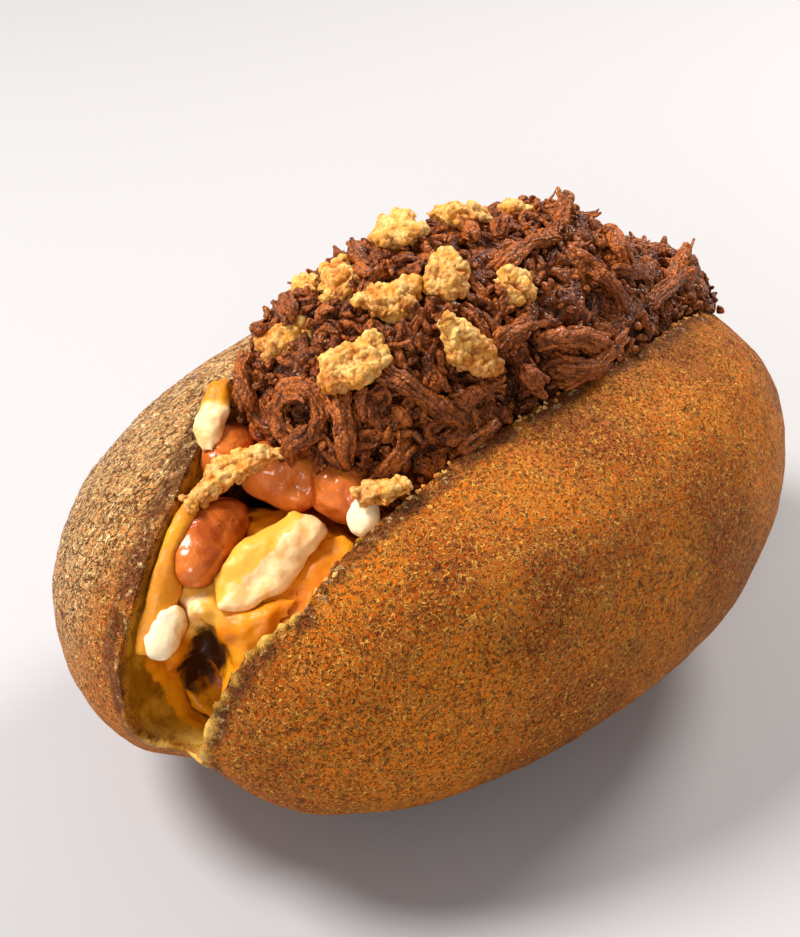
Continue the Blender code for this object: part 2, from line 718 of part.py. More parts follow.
def beef(into, helpers, potato_room, rooms, blocked):
    """The mound's core with its shreds fused on, cut clear of the potato and of what lies in it."""
    rng = random.Random(SHRED_SEED)
    bm = ball(*HEAP_SIDES)
    for vert in bm.verts:
        vert.co = heap_point(vert.co.normalized())
        if vert.co.z < HEAP_MIDDLE_Z:
            vert.co.z = HEAP_MIDDLE_Z + (vert.co.z - HEAP_MIDDLE_Z) * HEAP_BELOW
    core = new_object("pulled_beef", mesh_from(bm, "pulled_beef"), "pulled_beef", into)
    shreds = []
    for place in CLEAR_SHREDS:
        count = CLEAR_POINTS + (LOOP_POINTS if place[5] > SHRED_LOOP else 0)
        made = shred_path(place, count)
        if made:
            shreds.append(shred(len(shreds), *made, helpers))
    for _ in range(SHRED_TRIES):
        made = shred_path(random_place(rng), SHRED_POINTS, blocked)
        if made and len(shreds) < SHREDS:
            shreds.append(shred(len(shreds), *made, helpers))
    apply_boolean(core, "UNION", shreds)
    remove(shreds)
    apply_boolean(core, "DIFFERENCE", [potato_room])
    for room in rooms:
        apply_boolean(core, "DIFFERENCE", [room])
    keep_largest(core)
    core.data.materials.clear()
    core.data.materials.append(material("pulled_beef"))
    return core


def cut_clear(obj, rooms):
    for room in rooms:
        apply_boolean(obj, "DIFFERENCE", [room])
    keep_largest(obj)


def main():
    clear_scene()
    parts = collection("baked_potato")
    helpers = collection("cutters")
    potato("potato", 0.0, parts, "potato")
    potato_room = potato("potato_room", GAP, helpers)
    as_helper(potato_room)

    rooms = []

    def add(obj):
        """Cuts obj clear of what is there already, and keeps its own room for what comes after."""
        cut_clear(obj, [potato_room, *rooms])
        rooms.append(grown(obj, GAP, helpers))
        return obj

    for name, place in BEANS.items():
        add(bean(name, place, parts))
    for name, place in CHEESE_SLICES.items():
        add(slice_of_cheese(name, place, parts))
    for name, place in CHEESE_BARS.items():
        add(bar(name, place, parts))
    blocked = []
    for seed, (name, place) in enumerate(ONIONS_ON_BEEF.items(), 1):
        piece = onion_on_beef(name, place, parts, seed)
        centre = sum((v.co for v in piece.data.vertices), Vector()) / len(piece.data.vertices)
        blocked.append((centre, max(place[2]) * MM * ONION_REACH))
        add(piece)
    for seed, (name, place) in enumerate(ONIONS_BELOW.items(), ONIONS_BELOW_SEED):
        centre, heading, pitch, size, bend = place
        frame = turned(0, pitch, heading).to_3x3()
        add(onion(name, Vector(centre) * MM, frame, size, bend, parts, seed))
    add(cheese_bed(parts, helpers))
    beef(parts, helpers, potato_room, rooms, blocked)
    remove([potato_room, *rooms])
    for obj in parts.objects:
        obj.data.shade_smooth()


main()
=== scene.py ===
import itertools
import math
import random

import bmesh
import bpy
import numpy as np
from mathutils import Matrix, Vector
from mathutils.bvhtree import BVHTree
from mathutils.kdtree import KDTree


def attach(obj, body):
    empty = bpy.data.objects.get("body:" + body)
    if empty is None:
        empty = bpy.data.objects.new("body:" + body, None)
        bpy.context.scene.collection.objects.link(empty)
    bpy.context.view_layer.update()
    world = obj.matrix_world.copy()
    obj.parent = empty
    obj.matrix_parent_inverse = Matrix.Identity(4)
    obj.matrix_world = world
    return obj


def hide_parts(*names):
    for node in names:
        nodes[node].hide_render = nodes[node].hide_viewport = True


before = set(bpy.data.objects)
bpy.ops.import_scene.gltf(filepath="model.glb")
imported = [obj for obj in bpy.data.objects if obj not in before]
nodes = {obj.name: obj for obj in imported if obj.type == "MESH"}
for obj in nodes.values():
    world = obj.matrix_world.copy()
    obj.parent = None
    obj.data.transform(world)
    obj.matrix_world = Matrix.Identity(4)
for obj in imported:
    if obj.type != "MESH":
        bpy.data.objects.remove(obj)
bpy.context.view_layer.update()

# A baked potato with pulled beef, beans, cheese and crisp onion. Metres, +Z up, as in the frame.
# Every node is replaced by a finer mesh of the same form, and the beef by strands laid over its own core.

MM = 0.001

# The potato's own form, as in its source: half sizes in metres, and how square it is.
HALF = np.array((70, 46.7, 34.2)) * MM
END_POWER = 2.27
SIDE_POWER = 2.38
UNDERSIDE_FLAT = 0.8 * MM
LUMP = 0.012
CLEFT_AT = np.array((-59, -12, 14)) * MM
CLEFT_REACH = np.array((18, 8.5, 14)) * MM
CLEFT_SHIFT = np.array((0.6, 0.2, 0.75)) * 8 * MM

# The beef mound's own form, as in its source.
HEAP_MIN_X = -34 * MM
HEAP_MAX_X = 65 * MM
HEAP_MIDDLE_X = (HEAP_MIN_X + HEAP_MAX_X) / 2
HEAP_HALF_LENGTH = (HEAP_MAX_X - HEAP_MIN_X) / 2
HEAP_HALF_WIDTH = 21.5 * MM
HEAP_MIDDLE_Z = 59 * MM
HEAP_RISE = 28.6 * MM
HEAP_FALL_X = (-38, -6, 20, 30, 40, 50, 60, 66)
HEAP_FALL = (0, 0, 4.6, 4.8, 11.5, 15.5, 14.5, 14)
HEAP_POWERS = (3.3, 2.5)
HEAP_TUCK = 0.45
HEAP_TUCK_TOP = 67 * MM
HEAP_TAPER = 0.16
HEAP_LEAN = 0.9 * MM

# Strands that show clearly: tilt along the mound (-90 at its near end), turn round it (0 on top, less to
# the right) and heading on its surface, in degrees, then length and radius in millimetres, bend in degrees,
# and how far the last end stands off the mound.
CLEAR_STRANDS = (
    (-37, -57, -50, 19, 1.5, 14, 0),
    (-48, -75, -131, 10, 1.5, 20, 0),
    (-22, -50, 12, 18, 1.4, -25, 0),
    (-18, -62, -57, 12, 1.7, 8, 0),
    (-4, -56, -26, 16, 1.6, -12, 0),
    (-4, -66, -18, 13, 1.5, 20, 0),
    (-30, -76, 9, 16, 1.4, -10, 0),
    (2, -64, 9, 20, 1.3, 10, 0),
    (-73, -45, -41, 15, 1.4, 30, 0),
    (-54, -54, -101, 11, 1.3, -15, 0),
    (8, -38, -60, 14, 1.5, 15, 0),
    (21, -39, -9, 18, 1.4, 25, 0),
    (-4, -18, 5, 18, 1.4, -20, 0),
    (34, -36, 12, 22, 1.4, 18, 0),
    (-60, 36, 166, 10, 1.4, 30, 0),
    (10, -9, 31, 6, 1.3, 0, 2.4),
    (28, -31, 39, 6, 1.3, 0, 0.4),
    (-12, -4, 45, 6, 1.2, 0, 1.4),
    (-46, 14, 60, 5, 1.6, 0, 1.2),
    (-52, 22, 49, 5, 1.3, 0, 0.8),
    (38, -33, -4, 10, 1.3, 0, 1.5),
    (16, -30, 80, 7, 1.4, 0, 0.5),
    (-8, -10, 40, 7, 1.4, 0, 2.5),
    (42, -24, 33, 6, 1.2, 0, 2.6),
    (-31, 9, 52, 5, 1.2, 0, 1.0),
)

# The hollow in the melted cheese at the near end, dark with painted shade and some browning: its middle,
# its reach and how far it goes in.
HOLLOW_AT = np.array((-57.5, -10.0, 41.5)) * MM
HOLLOW_REACH = np.array((4.2, 4.2, 5.2)) * MM
HOLLOW_PUSH = np.array((4.2, 4.4, -4.0)) * MM
HOLLOW_LOW_AT = np.array((-56, -7, 35)) * MM
HOLLOW_LOW_REACH = np.array((5.5, 5, 6)) * MM

# Where melted cheese runs down the inside of the left lobe.
DRIP_LINE = np.array(((-63.5, -4, 39), (-60.5, -2.4, 34.3), (-59.2, -3.5, 29.1), (-58.9, -7.2, 26.7))) * MM

# A dark hole in the mound, and the strands that curl round it: their distance from its middle,
# how far round they start and go in degrees, and their radius in millimetres.
HOLE_AT = Vector((-32, -4, 71)) * MM
HOLE_REACH = 2.0 * MM
HOLE_DEPTH = 3.5
CURLS = ((3.3, 20, 200, 1.3), (3.5, 200, 170, 1.2), (4.6, -40, 150, 1.2), (4.8, 120, 130, 1.1))

# The camera, as fitted to the photograph, whose frame is 800 by 937 pixels.
CAMERA_TARGET = Vector((-8.5, 0, 47.4)) * MM
CAMERA_DISTANCE = 349 * MM
CAMERA_AZIMUTH = math.radians(-42.9)
CAMERA_ELEVATION = math.radians(35)
FOCAL_PIXELS = 2100
FRAME_HEIGHT = 937
SENSOR = 36  # millimetres


# Noise for shapes.

NOISE_RNG = np.random.default_rng(7)
TABLE = NOISE_RNG.permutation(256)
GRADIENTS = NOISE_RNG.normal(size=(256, 3))
GRADIENTS /= np.linalg.norm(GRADIENTS, axis=1)[:, None]
JITTERS = NOISE_RNG.uniform(size=(256, 3))
SEEDS_APART = 17.3
SWELL_GAIN = 1.7  # brings the smooth noise to about -1 to 1
KNOB_SPREAD = 0.7  # the square of a knob's reach, with 1 between knobs


def hashed(cell):
    """A random number from 0 to 255 for each cell, always the same one."""
    x, y, z = (cell[:, i] & 255 for i in range(3))
    return TABLE[(TABLE[(TABLE[x] + y) & 255] + z) & 255]


def swell(points, size, seed=0):
    """Smooth noise from about -1 to 1, with swells about size millimetres apart."""
    place = points / (size * MM) + seed * SEEDS_APART
    cell = np.floor(place).astype(int)
    within = place - cell
    ease = within**3 * (within * (within * 6 - 15) + 10)
    total = np.zeros(len(points))
    for corner in itertools.product((0, 1), repeat=3):
        weight = np.prod(np.where(corner, ease, 1 - ease), axis=1)
        gradient = GRADIENTS[hashed(cell + corner)]
        total += weight * np.einsum("ij,ij->i", gradient, within - corner)
    return total * SWELL_GAIN


def knobs(points, size, seed=0):
    """Round knobs about size millimetres apart: 1 at the middle of each, 0 between them."""
    place = points / (size * MM) + seed * SEEDS_APART
    cell = np.floor(place).astype(int)
    nearest = np.full(len(points), 9.0)
    for corner in itertools.product((-1, 0, 1), repeat=3):
        other = cell + corner
        away = other + JITTERS[hashed(other)] - place
        nearest = np.minimum(nearest, (away**2).sum(axis=1))
    return np.clip(1 - nearest / KNOB_SPREAD, 0, 1)


def smoothstep(value, low, high):
    """0 below low, 1 above high, and smooth between."""
    share = np.clip((value - low) / (high - low), 0, 1)
    return share * share * (3 - 2 * share)


def falloff(points, place, reach):
    """1 at a place, and smoothly less away from it; reach is one distance or one for each axis."""
    return np.exp(-(((points - place) / reach) ** 2).sum(axis=1))


# Meshes.

def add_object(name, data):
    obj = bpy.data.objects.new(name, data)
    bpy.context.scene.collection.objects.link(obj)
    return obj


def finished(bm, name):
    """A mesh with what has been built in bm."""
    mesh = bpy.data.meshes.new(name)
    bm.to_mesh(mesh)
    bm.free()
    return mesh


def vertices_of(mesh):
    points = np.empty(len(mesh.vertices) * 3)
    mesh.vertices.foreach_get("co", points)
    return points.reshape(-1, 3)


def normals_of(mesh):
    normals = np.empty(len(mesh.vertices) * 3)
    mesh.vertices.foreach_get("normal", normals)
    return normals.reshape(-1, 3)


def set_vertices(mesh, points):
    mesh.vertices.foreach_set("co", points.ravel())
    mesh.update()


def set_values(mesh, **values):
    """Keeps numbers of each name on the mesh's vertices, for its material to read."""
    for name, numbers in values.items():
        layer = mesh.attributes.new(name, "FLOAT", "POINT")
        layer.data.foreach_set("value", np.full(len(mesh.vertices), numbers, dtype=np.float32))


def set_places(mesh, name, places):
    """Keeps one place a vertex on the mesh, in metres, for its material to read."""
    layer = mesh.attributes.new(name, "FLOAT_VECTOR", "POINT")
    layer.data.foreach_set("vector", np.asarray(places, dtype=np.float32).ravel())


def mesh_of(points, faces, name):
    """A mesh from places in metres and faces."""
    mesh = bpy.data.meshes.new(name)
    mesh.from_pydata([tuple(p) for p in points], [], faces)
    mesh.update()
    return mesh


def remeshed(meshes, voxel, smooth, name):
    """One fine even mesh of the same form as those meshes together, with its edges softened."""
    bm = bmesh.new()
    for mesh in meshes:
        bm.from_mesh(mesh)
    joined = finished(bm, name)
    obj = add_object(name, joined)
    step = obj.modifiers.new("even", "REMESH")
    step.mode = "VOXEL"
    step.voxel_size = voxel * MM
    step = obj.modifiers.new("soft", "SMOOTH")
    step.factor = 0.5
    step.iterations = smooth
    graph = bpy.context.evaluated_depsgraph_get()
    mesh = bpy.data.meshes.new_from_object(obj.evaluated_get(graph))
    bpy.data.objects.remove(obj)
    bpy.data.meshes.remove(joined)
    mesh.name = name
    return mesh


def raised(mesh, heights):
    """Moves each vertex along its normal by a height in millimetres."""
    set_vertices(mesh, vertices_of(mesh) + normals_of(mesh) * np.asarray(heights)[:, None] * MM)


def add_piece(name, mesh, look, slot, *replaced):
    """A visible piece that moves with the root, and that takes the place of the nodes in replaced."""
    obj = add_object(name, mesh)
    mesh.materials.clear()
    mesh.materials.append(look)
    mesh.shade_smooth()
    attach(obj, "root")
    if replaced:
        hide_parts(*replaced)


def ball(middle, radius):
    bm = bmesh.new()
    bmesh.ops.create_icosphere(bm, subdivisions=2, radius=radius, matrix=Matrix.Translation(middle))
    return finished(bm, "ball")


def tree_of(names):
    """A search tree over the solids of several nodes."""
    points, faces = [], []
    for name in names:
        mesh = nodes[name].data
        start = len(points)
        points += [v.co.copy() for v in mesh.vertices]
        faces += [[start + i for i in p.vertices] for p in mesh.polygons]
    return BVHTree.FromPolygons(points, faces)


# Materials.

class Look:
    """Builds one material's nodes."""

    def __init__(self, name):
        self.material = bpy.data.materials.new(name)
        self.material.use_nodes = True
        self.tree = self.material.node_tree
        self.shader = self.tree.nodes["Principled BSDF"]
        place = self.tree.nodes.new("ShaderNodeTexCoord")
        self.place = self.scaled(place.outputs["Object"], 1 / MM)

    def node(self, kind, **values):
        made = self.tree.nodes.new(kind)
        for name, value in values.items():
            setattr(made, name, value)
        return made

    def link(self, value, socket):
        """Feeds a socket from another one, or sets it to a fixed value."""
        if isinstance(value, bpy.types.NodeSocket):
            self.tree.links.new(value, socket)
        else:
            socket.default_value = value

    def scaled(self, vector, scale):
        """A vector times one number, or times one for each axis."""
        made = self.node("ShaderNodeVectorMath", operation="MULTIPLY")
        self.link(vector, made.inputs[0])
        made.inputs[1].default_value = (scale,) * 3 if isinstance(scale, (int, float)) else scale
        return made.outputs[0]

    def noise(self, size, detail=2, rough=0.5, warp=0.0, vector=None):
        """Noise from 0 to 1, with features about size millimetres across."""
        made = self.node("ShaderNodeTexNoise")
        self.link(vector or self.place, made.inputs["Vector"])
        made.inputs["Scale"].default_value = 1 / size
        made.inputs["Detail"].default_value = detail
        made.inputs["Roughness"].default_value = rough
        made.inputs["Distortion"].default_value = warp
        return made.outputs["Fac"]

    def cells(self, size):
        """Distance from the nearest of many spots about size millimetres apart."""
        made = self.node("ShaderNodeTexVoronoi")
        self.link(self.place, made.inputs["Vector"])
        made.inputs["Scale"].default_value = 1 / size
        return made.outputs["Distance"]

    def maths(self, operation, first, second=0.0):
        made = self.node("ShaderNodeMath", operation=operation)
        self.link(first, made.inputs[0])
        self.link(second, made.inputs[1])
        return made.outputs[0]

    def times(self, first, second):
        return self.maths("MULTIPLY", first, second)

    def plus(self, first, second):
        return self.maths("ADD", first, second)

    def minus(self, first, second):
        return self.maths("SUBTRACT", first, second)

    def most(self, first, second):
        return self.maths("MAXIMUM", first, second)

    def band(self, value, low, high, start=0.0, end=1.0):
        """Start below low, end above high, and smooth between."""
        made = self.node("ShaderNodeMapRange", interpolation_type="SMOOTHSTEP")
        self.link(value, made.inputs["Value"])
        made.inputs["From Min"].default_value = low
        made.inputs["From Max"].default_value = high
        made.inputs["To Min"].default_value = start
        made.inputs["To Max"].default_value = end
        return made.outputs["Result"]

    def threads(self, size, width, warp=0.6, detail=1.0, vector=None):
        """Thin squiggling lines, 1 on a line and 0 between."""
        off = self.maths("ABSOLUTE", self.minus(self.noise(size, detail, 0.5, warp, vector), 0.5))
        return self.band(off, 0.0, width, 1.0, 0.0)

    def mix(self, share, first, second):
        """The first colour where the share is 0 and the second where it is 1."""
        made = self.node("ShaderNodeMix", data_type="RGBA")
        self.link(share, made.inputs["Factor"])
        self.link(first, made.inputs["A"])
        self.link(second, made.inputs["B"])
        return made.outputs["Result"]

    def value(self, name):
        """A number that the mesh keeps for each vertex."""
        return self.node("ShaderNodeAttribute", attribute_name=name).outputs["Fac"]

    def places(self, name, scale):
        """A place that the mesh keeps for each vertex, scaled."""
        return self.scaled(self.node("ShaderNodeAttribute", attribute_name=name).outputs["Vector"], scale)

    def bump(self, height, distance, under=None):
        """Relief of that distance in millimetres."""
        made = self.node("ShaderNodeBump")
        self.link(height, made.inputs["Height"])
        made.inputs["Distance"].default_value = distance * MM
        if under:
            self.link(under, made.inputs["Normal"])
        return made.outputs["Normal"]

    def finish(self, colour, roughness, normal=None, **fixed):
        """Links the shader up, sets its fixed values and gives the material back."""
        self.link(colour, self.shader.inputs["Base Color"])
        self.link(roughness, self.shader.inputs["Roughness"])
        if normal:
            self.link(normal, self.shader.inputs["Normal"])
        for name, value in fixed.items():
            self.shader.inputs[name.replace("_", " ")].default_value = value
        return self.material


def srgb(*levels):
    """A colour given as it looks on screen, from 0 to 255, as the shader wants it."""
    shares = [v / 255 for v in levels]
    return tuple(v / 12.92 if v <= 0.04045 else ((v + 0.055) / 1.055) ** 2.4 for v in shares) + (1,)


def potato_look():
    """Golden brown skin with a fine crinkled network, and moist amber flesh where the slit opens it."""
    look = Look("potato_skin")
    skin, rim, pale, edge, drip = (look.value(name) for name in ("skin", "rim", "pale", "edge", "drip"))
    # Wide patches from golden to brown, and greyer ones.
    wide = look.noise(26, 2, 0.5, 0.4)
    colour = look.mix(look.band(wide, 0.36, 0.64), srgb(174, 72, 2), srgb(236, 122, 16))
    middle = look.noise(7, 3, 0.6)
    colour = look.mix(look.band(middle, 0.54, 0.7, 0, 0.65), colour, srgb(164, 92, 34))
    # Painted sheen: the left lobe's top is paler, in beige.
    sheen_colour = look.mix(look.band(middle, 0.35, 0.7), srgb(236, 168, 98), srgb(198, 126, 58))
    colour = look.mix(look.times(pale, 0.8), colour, sheen_colour)
    # Small spots: the light ones are painted highlights, the dark ones the skin's own mottling.
    mottle_and_highlights = look.noise(2.4, 3, 0.65)
    colour = look.mix(look.band(mottle_and_highlights, 0.55, 0.72, 0, 0.5), colour, srgb(238, 156, 66))
    colour = look.mix(look.band(mottle_and_highlights, 0.45, 0.3, 0, 0.6), colour, srgb(124, 60, 8))
    # The network: raised threads with painted highlights on them, and dark flecks between them.
    lengthwise = look.scaled(look.place, (0.65, 1, 1))
    threads = look.most(look.threads(1.15, 0.05, 0.9), look.threads(0.72, 0.06, 1.0))
    long = look.times(look.threads(1.3, 0.07, 0.5, 1, lengthwise), look.band(pale, 0.2, 0.8))
    threads = look.most(threads, long)
    # The threads' light colour is painted highlight, paler on the left lobe's top.
    ridge_highlight = look.mix(pale, srgb(255, 180, 74), srgb(255, 214, 150))
    colour = look.mix(look.times(threads, 0.95), colour, ridge_highlight)
    flecks = look.band(look.noise(0.55, 2, 0.6, 0.5), 0.48, 0.34)
    colour = look.mix(look.times(flecks, 0.6), colour, srgb(88, 36, 4))
    spots = look.band(look.noise(1.9, 3, 0.65), 0.42, 0.3)
    colour = look.mix(look.times(spots, 0.5), colour, srgb(90, 42, 12))
    # Dark lengthwise crevices, sunk in the relief of the left lobe's top: painted shade in them.
    crevices = look.times(look.threads(2.0, 0.05, 0.4, 2, lengthwise), look.band(pale, 0.2, 0.8))
    colour = look.mix(look.times(crevices, 0.85), colour, srgb(104, 54, 18))
    # The dark cut edge, with pale flakes on it.
    dark = look.times(look.band(rim, 0.25, 0.8), look.band(look.noise(5, 2), 0.3, 0.52))
    colour = look.mix(look.times(dark, 0.75), colour, srgb(98, 50, 28))
    flakes = look.times(look.band(rim, 0.5, 0.95), look.band(look.noise(1.3, 2), 0.58, 0.64))
    colour = look.mix(look.times(flakes, 0.7), colour, srgb(236, 194, 130))
    # The flesh, paler just under the skin.
    wet = look.mix(look.band(look.noise(6, 3), 0.35, 0.65), srgb(136, 84, 10), srgb(196, 138, 34))
    wet = look.mix(look.band(look.noise(2.2, 2), 0.5, 0.7, 0, 0.6), wet, srgb(96, 58, 10))
    wet = look.mix(look.times(edge, look.band(look.noise(3.0, 2), 0.3, 0.65)), wet, srgb(216, 174, 84))
    ragged = look.plus(drip, look.times(look.minus(look.noise(2, 3), 0.5), 0.7))
    wet = look.mix(look.band(ragged, 0.35, 0.6), wet, srgb(222, 140, 14))
    colour = look.mix(skin, wet, colour)
    relief = look.minus(threads, look.times(flecks, 0.9))
    relief = look.minus(relief, look.times(spots, 0.6))
    relief = look.minus(relief, crevices)
    relief = look.times(relief, skin)
    normal = look.bump(relief, 0.4)
    normal = look.bump(look.noise(2.2, 3, 0.6), 0.4, normal)
    dry = look.mix(pale, (0.5, 0.5, 0.5, 1), (0.34, 0.34, 0.34, 1))
    rough = look.mix(skin, (0.2, 0.2, 0.2, 1), dry)
    return look.finish(
        colour, rough, normal, Subsurface_Weight=0.03, Subsurface_Scale=1.0 * MM, Specular_IOR_Level=0.1,
    )


def beef_look(name, dark, lit):
    """Braised beef: warm brown, fibrous along each strand, with small glints; painted shade in its grooves
    and between its fibres and grains, and painted highlights on its raised fibres and grains.
    """
    look = Look(name)
    shade, groove, grain = look.value("shade"), look.value("groove"), look.value("grain")
    patches = look.noise(3.0, 3, 0.6)
    share = look.plus(look.times(shade, 0.55), look.times(patches, 0.8))
    colour = look.mix(look.band(share, 0.35, 1.0), dark, lit)
    # Painted shade in the grooves.
    colour = look.mix(look.band(groove, 0.1, -0.6, 0, 0.8), colour, srgb(44, 14, 4))
    # Painted highlights on the raised grains.
    colour = look.mix(look.band(grain, 0.5, 0.9, 0, 0.45), colour, srgb(188, 102, 46))
    along = look.places("fibre", (1 / MM, 1 / MM, 0.16 / MM))
    fibres = look.noise(0.42, 2, 0.6, 0.3, along)
    # The fibres: partly the meat's own streaks, partly painted highlight on the raised ones and painted
    # shade between them.
    colour = look.mix(look.band(fibres, 0.56, 0.7, 0, 0.5), colour, srgb(198, 112, 50))
    colour = look.mix(look.band(fibres, 0.44, 0.32, 0, 0.7), colour, srgb(40, 13, 4))
    grains = look.cells(0.62)
    # Painted shade in the sunk lines between the grains.
    colour = look.mix(look.band(grains, 0.45, 0.75, 0, 0.45), colour, srgb(46, 16, 5))
    normal = look.bump(fibres, 0.34)
    normal = look.bump(grains, -0.34, normal)
    rough = look.band(look.noise(0.9, 2), 0.4, 0.54, 0.13, 0.5)
    return look.finish(colour, rough, normal, Specular_IOR_Level=0.28)


def bean_look():
    """A glossy, slightly wrinkled skin, reddish brown, and lighter where the bean's tone says so: partly
    its own tone, partly painted light.
    """
    look = Look("bean_skin")
    share = look.plus(look.band(look.noise(5, 2), 0.35, 0.65, 0, 0.6), look.value("tone"))
    colour = look.mix(share, srgb(164, 68, 16), srgb(232, 130, 52))
    colour = look.mix(look.band(look.noise(1.2, 2), 0.62, 0.75, 0, 0.4), colour, srgb(236, 150, 84))
    normal = look.bump(look.noise(1.8, 2, 0.5, 0.4), 0.35)
    normal = look.bump(look.noise(0.5, 1), 0.04, normal)
    return look.finish(
        colour, 0.24, normal, Subsurface_Weight=0.15, Subsurface_Scale=1.2 * MM,
        Specular_IOR_Level=0.3, Coat_Weight=0.35, Coat_Roughness=0.14,
    )


def cheese_look():
    """Melted cheese: orange, cream white where its value says so, and dark in its hollow with painted shade
    and some browning.
    """
    look = Look("melted_cheese")
    cream, hollow = look.value("cream"), look.value("hollow")
    ragged = look.plus(cream, look.times(look.minus(look.noise(2.2, 3), 0.5), 0.9))
    orange = look.mix(look.band(look.noise(6, 2), 0.35, 0.65), srgb(208, 112, 4), srgb(232, 148, 18))
    orange = look.mix(look.band(cream, 0.05, 0.3), orange, srgb(240, 176, 62))
    white = look.mix(look.band(look.noise(2.4, 3), 0.4, 0.65), srgb(250, 214, 158), srgb(240, 184, 112))
    white = look.mix(look.band(cream, 1.0, WHITE), white, srgb(253, 230, 190))
    colour = look.mix(look.band(ragged, 0.4, 0.6), orange, white)
    uneven = look.times(look.minus(look.noise(2.0, 3), 0.5), 0.8)
    depth = look.plus(hollow, look.times(uneven, look.band(hollow, 0.0, 0.3)))
    # Dark in the hollow: painted shade, with some browning.
    colour = look.mix(look.band(depth, 0.3, 0.62), colour, srgb(58, 28, 8))
    normal = look.bump(look.noise(3, 2), 0.3)
    normal = look.bump(look.noise(0.7, 2), 0.05, normal)
    return look.finish(
        colour, 0.4, normal, Subsurface_Weight=0.22, Subsurface_Scale=1.3 * MM, Specular_IOR_Level=0.3,
    )


def onion_look():
    """Crisp batter: golden knobs, pale on top with painted highlight and amber in the creases with painted
    shade, with tiny dark specks.
    """
    look = Look("onion_batter")
    knob, done = look.value("knob"), look.value("done")
    pale = look.mix(look.band(look.noise(2.2, 2), 0.35, 0.65), srgb(244, 200, 118), srgb(230, 162, 66))
    amber = look.mix(look.band(look.noise(1.5, 2), 0.35, 0.65), srgb(196, 112, 26), srgb(166, 84, 16))
    # Amber in the creases and pale on the knob tops: painted shade and painted highlight, plus the amber
    # value that the mesh keeps.
    share = look.plus(look.band(knob, 0.62, 0.12, 0, 0.7), look.times(done, 0.8))
    crumb = look.noise(0.45, 2, 0.6)
    # Amber also in the small hollows between crumbs: painted shade.
    share = look.plus(share, look.band(crumb, 0.52, 0.36, 0, 0.4))
    colour = look.mix(look.maths("MINIMUM", share, 0.95), pale, amber)
    specks = look.band(look.cells(1.5), 0.13, 0.07)
    colour = look.mix(look.times(specks, 0.8), colour, srgb(112, 66, 20))
    normal = look.bump(crumb, 0.22)
    return look.finish(
        colour, 0.5, normal, Subsurface_Weight=0.22, Subsurface_Scale=0.8 * MM, Specular_IOR_Level=0.25,
    )


# The potato.

SKIN_VOXEL = 0.76
SKIN_DEPTH = (0.9 * MM, 1.7 * MM)  # where skin turns to flesh, going in
EDGE_DEPTH = (1.6 * MM, 4.6 * MM)  # where the flesh turns from pale to amber
LEFT_RIM = 7.5 * MM  # how far from the slit the skin is dark and wrinkled, on each lobe
RIGHT_RIM = 5.5 * MM
RIM_FADE = (0.13, 1.0)
RIGHT_LOBE_Y = -4 * MM
LIP_FULL_X = -56 * MM  # nearer than this the flesh curls out most over the right lobe's edge
LIP_SMALL_X = -49 * MM
LIP_SMALL = 0.3
LIP_WIDTH = (0.7, 1.9)  # in millimetres
LIP_HEIGHT = 0.5
DRIP_WIDTH = 2.1 * MM
DRIP_HEIGHT = 0.9
PALE_SHEEN_Y = (-4 * MM, 16 * MM)  # where the left lobe's pale top, painted sheen, begins and is full, in each direction
PALE_SHEEN_MINUS_X = (-70 * MM, -15 * MM)
PALE_SHEEN_Z = (16 * MM, 52 * MM)
RESTING_Z = (0.3 * MM, 4 * MM)  # no relief where the potato rests


def cleft_shift(points):
    """How far the notch at the near end shifts each point, as in the potato's source."""
    return falloff(points, CLEFT_AT, CLEFT_REACH)[:, None] * CLEFT_SHIFT


def on_skin(points):
    """The place on the potato's outer form straight out from each point, and how deep the point lies."""
    middle = np.array((0, 0, HALF[2] - UNDERSIDE_FLAT))
    base = points.copy()
    for _ in range(5):
        base = points - cleft_shift(base)
    scaled = (base - middle) / HALF
    length = np.linalg.norm(scaled, axis=1)
    unit = scaled / length[:, None]
    x, y, z = unit.T
    girth = np.abs(y) ** SIDE_POWER + np.abs(z) ** SIDE_POWER
    size = np.abs(x) ** END_POWER + girth ** (END_POWER / SIDE_POWER)
    lump = np.sin(3.1 * x + 2.3 * y + 0.6) * np.sin(2.7 * z - 1.9 * x + 1.1)
    reach = size ** (-1 / END_POWER) * (1 + LUMP * lump)
    skin = unit * HALF * reach[:, None] + middle
    depth = np.linalg.norm(skin - base, axis=1) * np.sign(reach - length)
    skin = skin + cleft_shift(skin)
    flat = skin[:, 2] < 0
    skin[flat, 2] = 0
    depth[flat] = points[flat, 2]
    return skin, depth


def away_from_line(points, line):
    """How far each point lies from a line through several places."""
    away = np.full(len(points), np.inf)
    for start, end in zip(line, line[1:]):
        run = end - start
        share = np.clip((points - start) @ run / (run @ run), 0, 1)
        away = np.minimum(away, np.linalg.norm(points - start - share[:, None] * run, axis=1))
    return away


